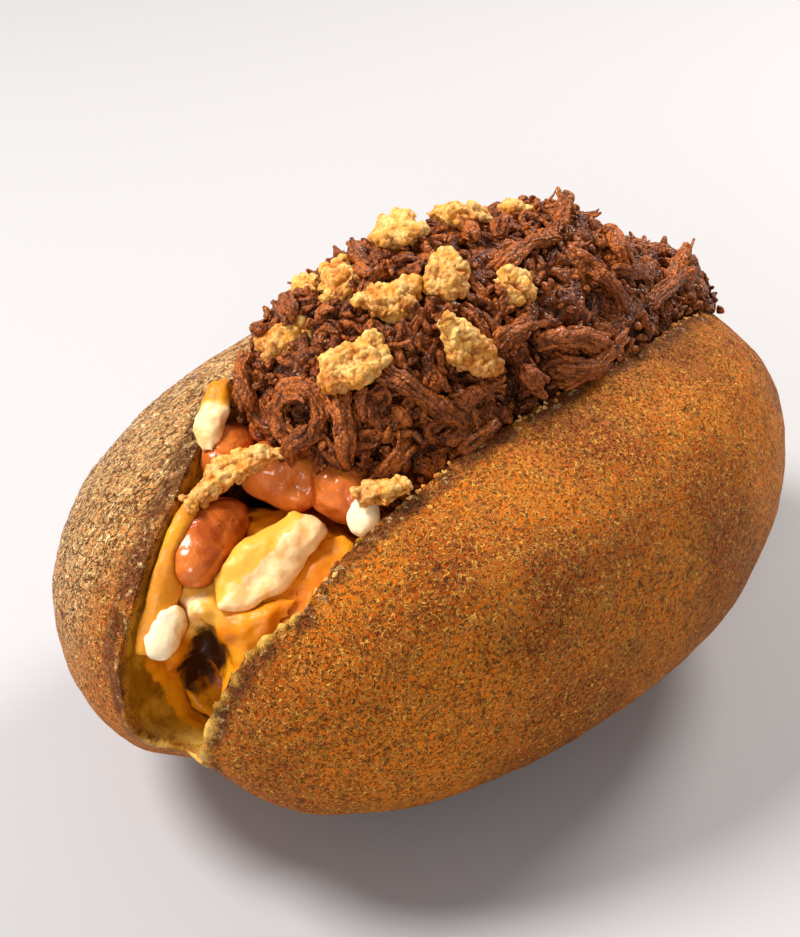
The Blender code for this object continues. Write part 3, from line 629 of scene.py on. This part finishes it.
def build_potato():
    mesh = remeshed([nodes["potato"].data], SKIN_VOXEL, 2, "potato_skin_and_flesh")
    points = vertices_of(mesh)
    skin_place, depth = on_skin(points)
    skin = 1 - smoothstep(depth, *SKIN_DEPTH)
    points = points + (skin_place - points) * skin[:, None]
    set_vertices(mesh, points)
    # How near each point of the skin is to the cut edge.
    flesh = points[skin < 0.5]
    tree = KDTree(len(flesh))
    for index, point in enumerate(flesh):
        tree.insert(point, index)
    tree.balance()
    near = np.array([tree.find(point)[2] for point in points])
    reach = np.where(points[:, 1] > 0, LEFT_RIM, RIGHT_RIM)
    rim = np.where(skin > 0.5, 1 - smoothstep(near / reach, *RIM_FADE), 1.0)
    # The right lobe's flesh curls out over its cut edge at the near end.
    curled = LIP_SMALL + (1 - LIP_SMALL) * smoothstep(-points[:, 0], -LIP_SMALL_X, -LIP_FULL_X)
    ragged = (near / MM + 0.9 * swell(points, 3.0, 8)) / curled
    on_right = points[:, 1] < RIGHT_LOBE_Y
    lip = (1 - smoothstep(ragged, *LIP_WIDTH)) * on_right * (depth < 1 * MM)
    # The left lobe is paler on top: painted sheen.
    pale = smoothstep(points[:, 1], *PALE_SHEEN_Y) * smoothstep(-points[:, 0], *PALE_SHEEN_MINUS_X)
    height = points[:, 2] + 5 * MM * swell(points, 12, 9)
    pale = pale * smoothstep(height, *PALE_SHEEN_Z)
    bumps = 0.34 * swell(points, 13, 1) + 0.16 * swell(points, 5.5, 2) + 0.07 * swell(points, 2.4, 3)
    crinkle = (1 - np.abs(swell(points * (0.7, 1.0, 1.0), 1.9, 4))) ** 3 * (0.06 + 0.17 * pale)
    # Short wrinkles that run down from the cut edge.
    stretched = points * (3.0, 1.0, 0.45)
    wrinkles = rim * swell(stretched, 5.0, 5) * 0.28
    torn = -0.55 * np.abs(swell(points, 4.0, 6)) - 0.25 * knobs(points, 2.4, 7)
    above = smoothstep(points[:, 2], *RESTING_Z)
    drip = np.exp(-(away_from_line(points, DRIP_LINE) / DRIP_WIDTH) ** 2) * (depth > 1 * MM)
    relief = skin * (bumps + crinkle + wrinkles) + (1 - skin) * torn + LIP_HEIGHT * lip + DRIP_HEIGHT * drip
    raised(mesh, relief * above)
    skin = skin * (1 - lip)
    edge = smoothstep(-points[:, 1], 4 * MM, 9 * MM) * (1 - smoothstep(depth, *EDGE_DEPTH))
    set_values(mesh, skin=skin, rim=rim * (skin > 0.5), pale=pale, edge=edge, drip=drip)
    add_piece("potato_skin_and_flesh", mesh, potato_look(), "potato", "potato")
    build_flakes(mesh)


FLAKES = 60
FLAKE_RADIUS = (0.25, 0.7)
FLAKE_RIM = 0.96  # how near to the cut edge a flake lies, as the rim's value
FLAKE_NEAR_X = -52 * MM
FLAKE_LOW_Z = 30 * MM


def build_flakes(skin):
    """Small torn crumbs along the right lobe's cut edge."""
    rng = random.Random(5)
    points = vertices_of(skin)
    rim = np.array([d.value for d in skin.attributes["rim"].data])
    x, y, z = points.T
    edge = points[(rim > FLAKE_RIM) & (y < RIGHT_LOBE_Y) & (x > FLAKE_NEAR_X) & (z > FLAKE_LOW_Z)]
    bm = bmesh.new()
    for _ in range(FLAKES):
        place = Vector(edge[rng.randrange(len(edge))])
        radius = rng.uniform(*FLAKE_RADIUS) * MM
        angle = rng.uniform(0, math.pi)
        axis = (rng.gauss(0, 1), rng.gauss(0, 1), rng.gauss(0, 1))
        turn = Matrix.Rotation(angle, 4, axis)
        flat = Matrix.Diagonal((1, rng.uniform(0.5, 0.9), rng.uniform(0.25, 0.5), 1))
        matrix = Matrix.Translation(place) @ turn @ flat
        bmesh.ops.create_icosphere(bm, subdivisions=3, radius=radius, matrix=matrix)
    mesh = finished(bm, "torn_flakes")
    points = vertices_of(mesh)
    raised(mesh, 0.22 * swell(points, 0.7, 21) + 0.12 * swell(points, 0.35, 22))
    set_values(mesh, knob=0.6, done=smoothstep(swell(points, 2.0, 23), -0.5, 0.7))
    add_piece("torn_flakes", mesh, onion_look(), "potato")


# The beef.

def heap_fall(x):
    """How much lower the mound's top is at x."""
    return float(np.interp(x / MM, HEAP_FALL_X, HEAP_FALL)) * MM


def heap_point(unit):
    """The mound's surface in the direction of a unit vector from its middle."""
    power = HEAP_POWERS[0] if unit.x < 0 else HEAP_POWERS[1]
    girth = math.hypot(unit.y, unit.z)
    reach = (abs(unit.x) ** power + girth**power) ** (-1 / power)
    x = HEAP_MIDDLE_X + unit.x * reach * HEAP_HALF_LENGTH
    taper = 1 - HEAP_TAPER * max(0, unit.x * reach)
    y = unit.y * reach * HEAP_HALF_WIDTH * taper
    z = HEAP_MIDDLE_Z + unit.z * reach * HEAP_RISE - heap_fall(x)
    nearness = max(0, -unit.x * reach)
    x += HEAP_TUCK * max(0, HEAP_TUCK_TOP - z) * nearness**2
    y += HEAP_LEAN * nearness
    return Vector((x, y, z))


CORE_SINK = 1.6  # how far the core lies under the mound's form, in millimetres
CORE_SIDES = (192, 144)
TOP_STEP = 0.45  # between the rows of points of a strand that shows clearly, in millimetres
CLEAR_SIDES = 16
CLEAR_TONES = (0.45, 1)
CLEAR_LIFT = 2.1  # how far such a strand lies over the mound, and how far its ends sink, in millimetres
CLEAR_SINK = 1.8
CLEAR_FIBRES = 6  # thin fibres laid on it, and on one that stands up or curls
TIP_FIBRES = 2
CURL_FIBRES = 5
CURL_LIFT = (1.0, 1.15)
DIP = 2.2  # how much lower the beef lies in a dip near its far end, in millimetres
DIP_X = 39 * MM
DIP_REACH = 8 * MM


def dip_at(x):
    """How much lower the beef lies at x, in millimetres."""
    return DIP * np.exp(-((x - DIP_X) / DIP_REACH) ** 2)


def from_lowest(face):
    """The same face, read round from its lowest corner."""
    first = face.index(min(face))
    return face[first:] + face[:first]


def heap_mesh(sink, name):
    """The mound's form, sunk by some millimetres."""
    bm = bmesh.new()
    turn = Matrix.Rotation(math.radians(90), 4, "Y")
    bmesh.ops.create_uvsphere(bm, u_segments=CORE_SIDES[0], v_segments=CORE_SIDES[1], radius=1, matrix=turn)
    for vert in bm.verts:
        vert.co = heap_point(vert.co.normalized())
    bmesh.ops.recalc_face_normals(bm, faces=bm.faces)
    # Blender gives the sphere's faces in another order each time, and the random draws need a fixed one.
    bm.verts.index_update()
    points = [vert.co.copy() for vert in bm.verts]
    faces = sorted(from_lowest([vert.index for vert in face.verts]) for face in bm.faces)
    bm.free()
    mesh = mesh_of(points, faces, name)
    raised(mesh, np.full(len(mesh.vertices), -sink))
    return mesh


class Strands:
    """Collects strands of meat into one mesh, grooved along their length, grainy and a little crooked."""

    GROOVE = 0.17  # depth of the grooves and of the lumps, as shares of the radius
    LUMP = 0.2
    CROOKED = 0.55  # how far noise shifts a strand, in millimetres
    FINE_CROOKED = 0.35  # the same for finer noise, as a share of it
    GRAIN_SIZE = 0.8
    GRAIN_LEVEL = 0.45  # the grain's value that lies on the strand's own surface
    APART = 7.3 * MM  # between one strand's noise and the next one's

    def __init__(self, seed, grain):
        self.seed = seed
        self.grain = grain
        self.points, self.faces, self.outward = [], [], []
        self.local, self.shade = [], []
        self.count = 0

    def add(self, path, ups, radii, sides, shade, flat=0.75):
        """One strand along a path, an ellipse in section, with blunt torn tips."""
        path, ups, radii = np.asarray(path), np.asarray(ups), np.asarray(radii)
        ways = np.gradient(path, axis=0)
        ways /= np.linalg.norm(ways, axis=1)[:, None] + 1e-12
        across = np.cross(ups, ways)
        across /= np.linalg.norm(across, axis=1)[:, None] + 1e-12
        over = np.cross(ways, across)
        rows = len(path)
        angles = np.arange(sides) * 2 * math.pi / sides
        level = np.cos(angles)[None, :, None] * across[:, None]
        upright = flat * np.sin(angles)[None, :, None] * over[:, None]
        outward = (level + upright) * radii[:, None, None]
        tips = np.array([path[0] - ways[0] * radii[0] * 0.5, path[-1] + ways[-1] * radii[-1] * 0.5])
        run = np.concatenate([[0], np.cumsum(np.linalg.norm(np.diff(path, axis=0), axis=1))])
        # Noise is read round the strand at true size but drawn out along it, which makes the grooves.
        apart = len(self.shade) * self.APART
        local = np.stack([
            np.tile(np.cos(angles), rows) * np.repeat(radii, sides) + apart,
            np.tile(np.sin(angles), rows) * np.repeat(radii, sides) + apart,
            np.repeat(run, sides),
        ], axis=1)
        first = self.count
        self.points += [(path[:, None] + outward).reshape(-1, 3), tips]
        self.outward += [outward.reshape(-1, 3), np.zeros((2, 3))]
        self.local += [local, np.array([[apart, apart, 0], [apart, apart, run[-1]]])]
        self.shade.append(np.full(rows * sides + 2, shade))
        index = first + np.arange(rows * sides).reshape(rows, sides)
        beside = np.roll(index, -1, axis=1)
        quads = np.stack([index[:-1], beside[:-1], beside[1:], index[1:]], axis=-1).reshape(-1, 4)
        self.faces += quads.tolist()
        near_tip, far_tip = first + rows * sides, first + rows * sides + 1
        self.faces += [[near_tip, beside[0][i], index[0][i]] for i in range(sides)]
        self.faces += [[far_tip, index[-1][i], beside[-1][i]] for i in range(sides)]
        self.count += rows * sides + 2

    def mesh(self, name):
        points, outward, local = (np.vstack(rows) for rows in (self.points, self.outward, self.local))
        groove = swell(local * (1, 1, 0.14), 0.55, self.seed)
        lump = swell(local * (1, 1, 0.6), 1.6, self.seed + 1)
        grain = knobs(local * (1, 1, 0.6), self.GRAIN_SIZE, self.seed + 8)
        relief = self.GROOVE * groove + self.LUMP * lump + self.grain * (grain - self.GRAIN_LEVEL)
        points = points + outward * relief[:, None]
        shift = np.stack([swell(points, 3.6, self.seed + k) for k in (2, 3, 4)], axis=1)
        fine = np.stack([swell(points, 1.5, self.seed + k) for k in (5, 6, 7)], axis=1)
        points = points + (shift + fine * self.FINE_CROOKED) * self.CROOKED * MM
        mesh = mesh_of(points, self.faces, name)
        set_values(mesh, shade=np.concatenate(self.shade), groove=groove, grain=grain)
        set_places(mesh, "fibre", local)
        return mesh


class Beef:
    """Lays strands on the mound, clear of the potato and of what lies in it."""

    POTATO_ROOM = 0.9  # the least distance, as a share of a strand's radius
    OTHER_ROOM = 0.6
    DEEPEST = 6 * MM  # how far inside a solid a point can be
    LOWEST_START = 50 * MM
    LEAST_START_ROOM = 0.4 * MM

    def __init__(self):
        form = heap_mesh(0, "heap_form")
        points = [v.co.copy() for v in form.vertices]
        self.surface = BVHTree.FromPolygons(points, [list(p.vertices) for p in form.polygons])
        self.potato = tree_of(["potato"])
        self.others = tree_of([name for name in nodes if name not in ("potato", "pulled_beef")])
        areas = np.array([p.area for p in form.polygons])
        self.centres = [p.center.copy() for p in form.polygons]
        self.shares = np.cumsum(areas) / areas.sum()
        self.rng = random.Random(23)
        self.hole = self.on_form(HOLE_AT)[0]
        bpy.data.meshes.remove(form)

    def on_form(self, spot):
        """The nearest place on the mound, and its normal."""
        place, normal, _, _ = self.surface.find_nearest(spot)
        return place, normal

    def clear(self, spot, radius):
        """Whether a strand of that radius has room at spot."""
        if (spot - self.hole).length < HOLE_REACH + radius:
            return False
        for tree, room in ((self.potato, self.POTATO_ROOM), (self.others, self.OTHER_ROOM)):
            place, normal, _, away = tree.find_nearest(spot)
            inside = (spot - place).dot(normal) < 0
            if away < room * radius or (inside and away < self.DEEPEST):
                return False
        return True

    def ways(self, normal, heading):
        """The direction of that heading on the mound, and the one to its left."""
        flat = Vector((1, 0, 0)) - normal * normal.x
        along = flat.normalized() if flat.length > 0.1 else normal.orthogonal().normalized()
        way = Matrix.Rotation(math.radians(heading), 3, normal) @ along
        return way, normal.cross(way)

    def path(self, start, heading, length, radius, bend, tip, lift, sink, count):
        """Points and normals of a strand's middle line, as far as it has room, or None.

        It lies lift millimetres over the mound, with ends sunk by sink, or with its last end up by tip.
        """
        here, normal = self.on_form(start)
        way, side = self.ways(normal, heading)
        turn = math.radians(bend or 0.5)
        run, best = [], []
        for i in range(count):
            s = i / (count - 1) - 0.5
            ahead = length * MM / turn * math.sin(turn * s)
            aside = length * MM / turn * (1 - math.cos(turn * s))
            place, out = self.on_form(here + way * ahead + side * aside)
            low = float(dip_at(place.x))
            off = lift - sink * (2 * abs(s)) ** 3 * (tip == 0) + tip * max(0, s + 0.5) ** 2
            spot = place + out * (off - low) * MM
            if self.clear(spot, radius * MM):
                run.append((spot, out))
                if len(run) > len(best):
                    best = run
            else:
                run = []
        return best if len(best) > max(2, count // 4) else None

    def lay(self, strands, path, radius, sides, torn=0, tones=(0, 1)):
        """A strand along a path, with thin fibres on it that part from it at one end."""
        rng = self.rng
        middle = np.array([p for p, _ in path])
        ups = np.array([n for _, n in path])
        rows = len(path)
        share = np.linspace(0, 1, rows)
        radii = radius * MM * (1 - 0.5 * np.abs(2 * share - 1) ** rng.uniform(2.5, 7))
        tone = rng.uniform(*tones)
        flat = rng.uniform(0.6, 0.95)
        strands.add(middle, ups, radii, sides, tone, flat)
        for _ in range(torn):
            long = min(rows, max(5, int(rows * rng.uniform(0.4, 0.9))))
            first = rng.choice((0, rows - long))
            piece = slice(first, first + long, 2)
            across = np.cross(ups[piece], np.gradient(middle[piece], axis=0))
            across /= np.linalg.norm(across, axis=1)[:, None] + 1e-12
            outer = np.linspace(1, 0, len(across)) if first == 0 else np.linspace(0, 1, len(across))
            around = rng.uniform(-1.2, 1.2)
            parted = outer**3 * rng.uniform(0.1, 0.9)
            off = math.sin(around) * (0.95 + parted) * radius
            high = math.cos(around) * flat * (0.95 + parted * rng.uniform(-0.2, 1.0)) * radius
            spot = middle[piece] + (across * off[:, None] + ups[piece] * high[:, None]) * MM
            thin = np.full(len(across), radius * rng.uniform(0.2, 0.36) * MM)
            strands.add(spot, ups[piece], thin, 5, min(1, tone + rng.uniform(-0.2, 0.4)))

    def random_start(self):
        """A place on the mound where a strand has room, each part of its surface as likely as its area."""
        while True:
            spot = self.centres[int(np.searchsorted(self.shares, self.rng.random()))]
            if spot.z > self.LOWEST_START and self.clear(spot, self.LEAST_START_ROOM):
                return spot

    def clear_strands(self, strands):
        """The strands that show clearly in the photo, each at its own place."""
        for tilt, around, heading, length, radius, bend, tip in CLEAR_STRANDS:
            tilt, around = math.radians(tilt), math.radians(around)
            girth = math.cos(tilt)
            start = heap_point(Vector((math.sin(tilt), girth * math.sin(around), girth * math.cos(around))))
            count = round(length / TOP_STEP)
            path = self.path(start, heading, length, radius * 0.6, bend, tip, CLEAR_LIFT, CLEAR_SINK, count)
            if path:
                fibres = TIP_FIBRES if tip else CLEAR_FIBRES
                self.lay(strands, path, radius, CLEAR_SIDES, fibres, CLEAR_TONES)

    def curls(self, strands):
        """Strands that lie round the hole."""
        _, normal = self.on_form(self.hole)
        for reach, first, round_by, radius in CURLS:
            count = round(math.radians(round_by) * reach / TOP_STEP)
            path = []
            for angle in np.linspace(first, first + round_by, count):
                way, _ = self.ways(normal, angle)
                place, out = self.on_form(self.hole + way * reach * MM)
                path.append((place + out * self.rng.uniform(*CURL_LIFT) * MM, out))
            self.lay(strands, path, radius, CLEAR_SIDES, CURL_FIBRES, CLEAR_TONES)

    def scatter(
        self, strands, count, length, radius, lift, sink, sides, step, spread=360, stand=0.0, torn=0,
    ):
        """Strands at random places, with points every step millimetres; a share of them stand up."""
        rng = self.rng
        for _ in range(count):
            start = self.random_start()
            thick = rng.uniform(*radius)
            heading = rng.gauss(-20, spread) if spread < 90 else rng.uniform(0, 360)
            tip = rng.uniform(0.8, 1.8) if rng.random() < stand else 0
            long = rng.uniform(*length)
            path = self.path(
                start, heading, long, thick * 0.6, rng.uniform(-90, 90), tip,
                rng.uniform(*lift), sink, max(5, round(long / step)),
            )
            if path:
                self.lay(strands, path, thick, sides, rng.randint(0, torn))


def build_beef():
    beef = Beef()
    core = heap_mesh(CORE_SINK, "beef_core")
    points = vertices_of(core)
    grain = knobs(points, 1.1, 15)
    relief = 0.9 * swell(points, 4.0, 11) + 0.5 * knobs(points, 2.2, 12) + 0.5 * grain
    hole = falloff(points, np.array(beef.hole), HOLE_REACH)
    raised(core, relief - dip_at(points[:, 0]) - HOLE_DEPTH * hole)
    # The core's low shade value darkens it further: painted shade.
    set_values(core, shade=0.1, groove=swell(points * (0.3, 1, 1), 0.6, 14), grain=grain)
    set_places(core, "fibre", points)
    # A darker copy of the beef for the core and the deep strands, painted shade, and a lit copy for the
    # strands above, painted light.
    shaded_look = beef_look("beef_shaded", srgb(52, 19, 5), srgb(122, 56, 19))
    lit_look = beef_look("beef_lit", srgb(102, 42, 11), srgb(190, 100, 36))
    add_piece("beef_core", core, shaded_look, "pulled_beef", "pulled_beef")
    deep, top, short, crumbs = Strands(100, 0.4), Strands(120, 0.36), Strands(140, 0.5), Strands(160, 0.55)
    beef.scatter(
        deep, count=190, length=(8, 18), radius=(1.0, 1.6), lift=(-0.8, 0.5), sink=1.0, sides=12, step=0.8,
    )
    beef.scatter(
        top, count=70, length=(7, 16), radius=(0.8, 1.4), lift=(0.3, 1.0), sink=2.0,
        sides=CLEAR_SIDES, step=TOP_STEP, spread=55, torn=5,
    )
    beef.clear_strands(top)
    beef.curls(top)
    beef.scatter(
        short, count=620, length=(3, 8), radius=(0.5, 1.0), lift=(0.0, 1.2), sink=1.2,
        sides=9, step=0.5, stand=0.1, torn=1,
    )
    beef.scatter(
        crumbs, count=1900, length=(0.9, 2.6), radius=(0.35, 0.65), lift=(0.1, 1.6), sink=0.5,
        sides=7, step=0.45, stand=0.15,
    )
    for name, strands, look in (
        ("beef_deep_strands", deep, shaded_look),
        ("beef_top_strands", top, lit_look),
        ("beef_short_strands", short, lit_look),
        ("beef_crumbs", crumbs, lit_look),
    ):
        add_piece(name, strands.mesh(name), look, "pulled_beef")


# The beans.

BEAN_GAP_AT = np.array((-35.8, -6.7, 59.8)) * MM  # where two beans nearly meet
BEAN_GAP_REACH = 3.6 * MM
BEAN_GAP = 2.4
BEAN_GROWTH = 0.35  # how much larger a bean is than its solid, before its wrinkles, in millimetres
BEAN_TONES = (0.05, 0.6, 0.2, 0.2)  # how light each bean is, from 0 to 1: partly its own tone, and on the lighter beans, bean_2 most, painted light


def build_beans():
    look = bean_look()
    for number, name in enumerate(sorted(n for n in nodes if n.startswith("bean_")), 1):
        mesh = remeshed([nodes[name].data], 0.4, 14, name + "_skin")
        points = vertices_of(mesh)
        gap = falloff(points, BEAN_GAP_AT, BEAN_GAP_REACH)
        wrinkles = 0.3 * swell(points, 4.5, number) + 0.14 * swell(points, 1.8, number + 5)
        raised(mesh, BEAN_GROWTH + wrinkles - BEAN_GAP * gap)
        set_values(mesh, tone=BEAN_TONES[number - 1])
        add_piece(name + "_skin", mesh, look, "bean", name)


# The cheese.

CREAM_BIT_AT = np.array((-54.2, -1.6, 47.4)) * MM  # a pale spot and a white one in the bed
CREAM_BIT_REACH = 3.4 * MM
WHITE_BIT_AT = np.array((-55.8, -6.6, 46.4)) * MM
WHITE_BIT_REACH = 3.2 * MM
WHITE = 1.3  # the value of cream at which cheese is white all over


def melted(name, voxel, smooth, grow, swells, seed):
    """A soft mesh of a node, with swells of several sizes: (size, height) pairs in millimetres."""
    mesh = remeshed([nodes[name].data], voxel, smooth, name + "_melted")
    points = vertices_of(mesh)
    height = np.full(len(points), float(grow))
    for number, (size, rise) in enumerate(swells):
        height += rise * swell(points, size, seed + number)
    raised(mesh, height)
    return mesh


def build_cheese():
    look = cheese_look()

    def add(name, mesh, cream, hollow=0.0):
        set_values(mesh, cream=cream, hollow=hollow)
        add_piece(name + "_melted", mesh, look, "cheese", name)

    def share_along(mesh, way):
        """0 at one end of the mesh along a direction and 1 at the other."""
        reach = vertices_of(mesh) @ np.array(way)
        return (reach - reach.min()) / (reach.max() - reach.min())

    bed = melted("cheese_bed", 0.5, 8, 0.0, ((7, 0.5), (3, 0.35), (1.4, 0.12)), 31)
    points = vertices_of(bed)
    hollow = falloff(points, HOLLOW_AT, HOLLOW_REACH)
    low = falloff(points, HOLLOW_LOW_AT, HOLLOW_LOW_REACH)
    set_vertices(bed, points + np.maximum(hollow, 0.4 * low)[:, None] * HOLLOW_PUSH)
    # The hollow's value darkens the cheese there: painted shade, with some browning.
    hollow = np.maximum(hollow, low)
    cream_bit = falloff(points, CREAM_BIT_AT, CREAM_BIT_REACH)
    white_bit = falloff(points, WHITE_BIT_AT, WHITE_BIT_REACH)
    add("cheese_bed", bed, 0.05 + 0.35 * cream_bit + 0.8 * white_bit, hollow)

    piece = melted("cheese_slice", 0.35, 5, 0.25, ((6, 0.7), (2.6, 0.35)), 41)
    rim = share_along(piece, (0.25, -0.8, -0.55))
    add("cheese_slice", piece, 0.26 + 0.74 * smoothstep(rim, 0.34, 0.6))

    piece = melted("cheese_sheet", 0.35, 6, 0.2, ((6, 0.5), (2.2, 0.25)), 51)
    add("cheese_sheet", piece, 0.12 * share_along(piece, (1, 0, 0)))

    piece = melted("cheese_strip_left", 0.35, 6, 0.2, ((7, 0.35), (2.5, 0.15)), 61)
    add("cheese_strip_left", piece, 0.14)

    piece = melted("cheese_nub_front", 0.3, 30, 0.45, ((4, 0.4), (1.6, 0.12)), 71)
    left = smoothstep(share_along(piece, (-0.73, 0.68, 0.1)), 0.05, 0.4)
    add("cheese_nub_front", piece, 0.5 + (WHITE - 0.5) * left)

    piece = melted("cheese_nub_right", 0.3, 20, 0.4, ((3, 0.4), (1.5, 0.18)), 81)
    add("cheese_nub_right", piece, WHITE)

    piece = melted("cheese_shred_top", 0.3, 10, 0.3, ((4, 0.7), (1.8, 0.35)), 91)
    add("cheese_shred_top", piece, 1 - smoothstep(share_along(piece, (0.6, 0.7, 0.4)), 0.45, 0.7))


# The crisp onion.

KNOBS_A_PIECE = 14
KNOB_RADIUS = (0.5, 1.2)
BATTER_VOXEL = 0.22
BATTER_CREASE = 1.2  # how far the creases between the knobs lie under the solid, in millimetres
KNOB_SIZE = 1.7  # how far apart the batter's knobs are, and the finer and the wider ones
FINE_SIZE = 0.8
WIDE_SIZE = 4.4
KNOB_SHIFT = 0.35 * MM


def build_onions():
    look = onion_look()
    names = sorted((n for n in nodes if n.startswith("onion_")), key=lambda n: int(n.split("_")[1]))
    for seed, name in enumerate(names):
        rng = random.Random(seed + 50)
        solid = nodes[name].data
        middle = sum((v.co for v in solid.vertices), Vector()) / len(solid.vertices)
        lumps = []
        for _ in range(KNOBS_A_PIECE):
            face = rng.choice(solid.polygons)
            radius = rng.uniform(*KNOB_RADIUS) * MM
            lumps.append(ball(face.center - face.normal * radius * rng.uniform(0.3, 0.9), radius))
        mesh = remeshed([solid, *lumps], BATTER_VOXEL, 2, name + "_crisp")
        for lump in lumps:
            bpy.data.meshes.remove(lump)
        points = vertices_of(mesh)
        # Knobs of three sizes, read at shifted places so that none is quite round.
        shift = np.stack([swell(points, KNOB_SIZE, seed + k) for k in (11, 12, 13)], axis=1) * KNOB_SHIFT
        knob = knobs(points + shift, KNOB_SIZE, seed)
        fine = knobs(points + shift, FINE_SIZE, seed + 3)
        wide = knobs(points + shift, WIDE_SIZE, seed + 7)
        raised(mesh, 0.6 * knob + 0.5 * fine + 1.1 * wide - BATTER_CREASE)
        # More amber lower down on each piece, and in random patches.
        above = (points[:, 2] - middle.z) / MM
        done = np.clip(0.3 - 0.12 * above + 0.6 * swell(points, 4, seed + 9), 0, 1)
        set_values(mesh, knob=0.5 * knob + 0.5 * fine, done=done)
        add_piece(name + "_crisp", mesh, look, "onion", name)


# Stage, light and camera.

FLOOR_HALF = 3
WORLD_COLOUR = (1.0, 0.99, 0.98, 1)
WORLD_STRENGTH = 0.24
# Each light's name, place, size, power and colour.
LIGHTS = (
    ("key", (-0.30, 0.30, 0.60), 0.26, 7.0, (1.0, 0.97, 0.93)),
    ("side", (0.45, 0.05, 0.40), 0.22, 3.0, (1.0, 0.95, 0.88)),
    ("front", (-0.42, -0.30, 0.28), 0.14, 0.9, (1.0, 1.0, 1.0)),
)


def build_stage():
    bm = bmesh.new()
    bmesh.ops.create_grid(bm, x_segments=1, y_segments=1, size=FLOOR_HALF)
    mesh = finished(bm, "floor")
    floor = add_object("floor", mesh)
    look = Look("floor_paper")
    mesh.materials.append(look.finish(srgb(183, 182, 185), 0.9))


def area_light(name, place, size, power, colour):
    """A round soft light that shines at the potato."""
    data = bpy.data.lights.new(name, "AREA")
    data.shape = "DISK"
    data.size = size
    data.energy = power
    data.color = colour
    obj = add_object(name, data)
    obj.location = place
    aim = CAMERA_TARGET - Vector(place)
    obj.rotation_euler = aim.to_track_quat("-Z", "Y").to_euler()


def build_light():
    world = bpy.data.worlds.new("studio")
    bpy.context.scene.world = world
    world.use_nodes = True
    back = world.node_tree.nodes["Background"]
    back.inputs["Color"].default_value = WORLD_COLOUR
    back.inputs["Strength"].default_value = WORLD_STRENGTH
    for light in LIGHTS:
        area_light(*light)


def build_camera():
    data = bpy.data.cameras.new("camera")
    data.sensor_fit = "VERTICAL"
    data.sensor_height = SENSOR
    data.lens = FOCAL_PIXELS / FRAME_HEIGHT * SENSOR
    data.clip_start = 0.01
    camera = add_object("camera", data)
    flat = math.cos(CAMERA_ELEVATION)
    back = Vector((
        math.sin(CAMERA_AZIMUTH) * flat, -math.cos(CAMERA_AZIMUTH) * flat, math.sin(CAMERA_ELEVATION),
    ))
    camera.location = CAMERA_TARGET + back * CAMERA_DISTANCE
    camera.rotation_euler = (-back).to_track_quat("-Z", "Y").to_euler()
    bpy.context.scene.camera = camera


bpy.context.scene.view_settings.view_transform = "Standard"
build_camera()
build_light()
build_stage()
build_potato()
build_cheese()
build_beans()
build_beef()
build_onions()
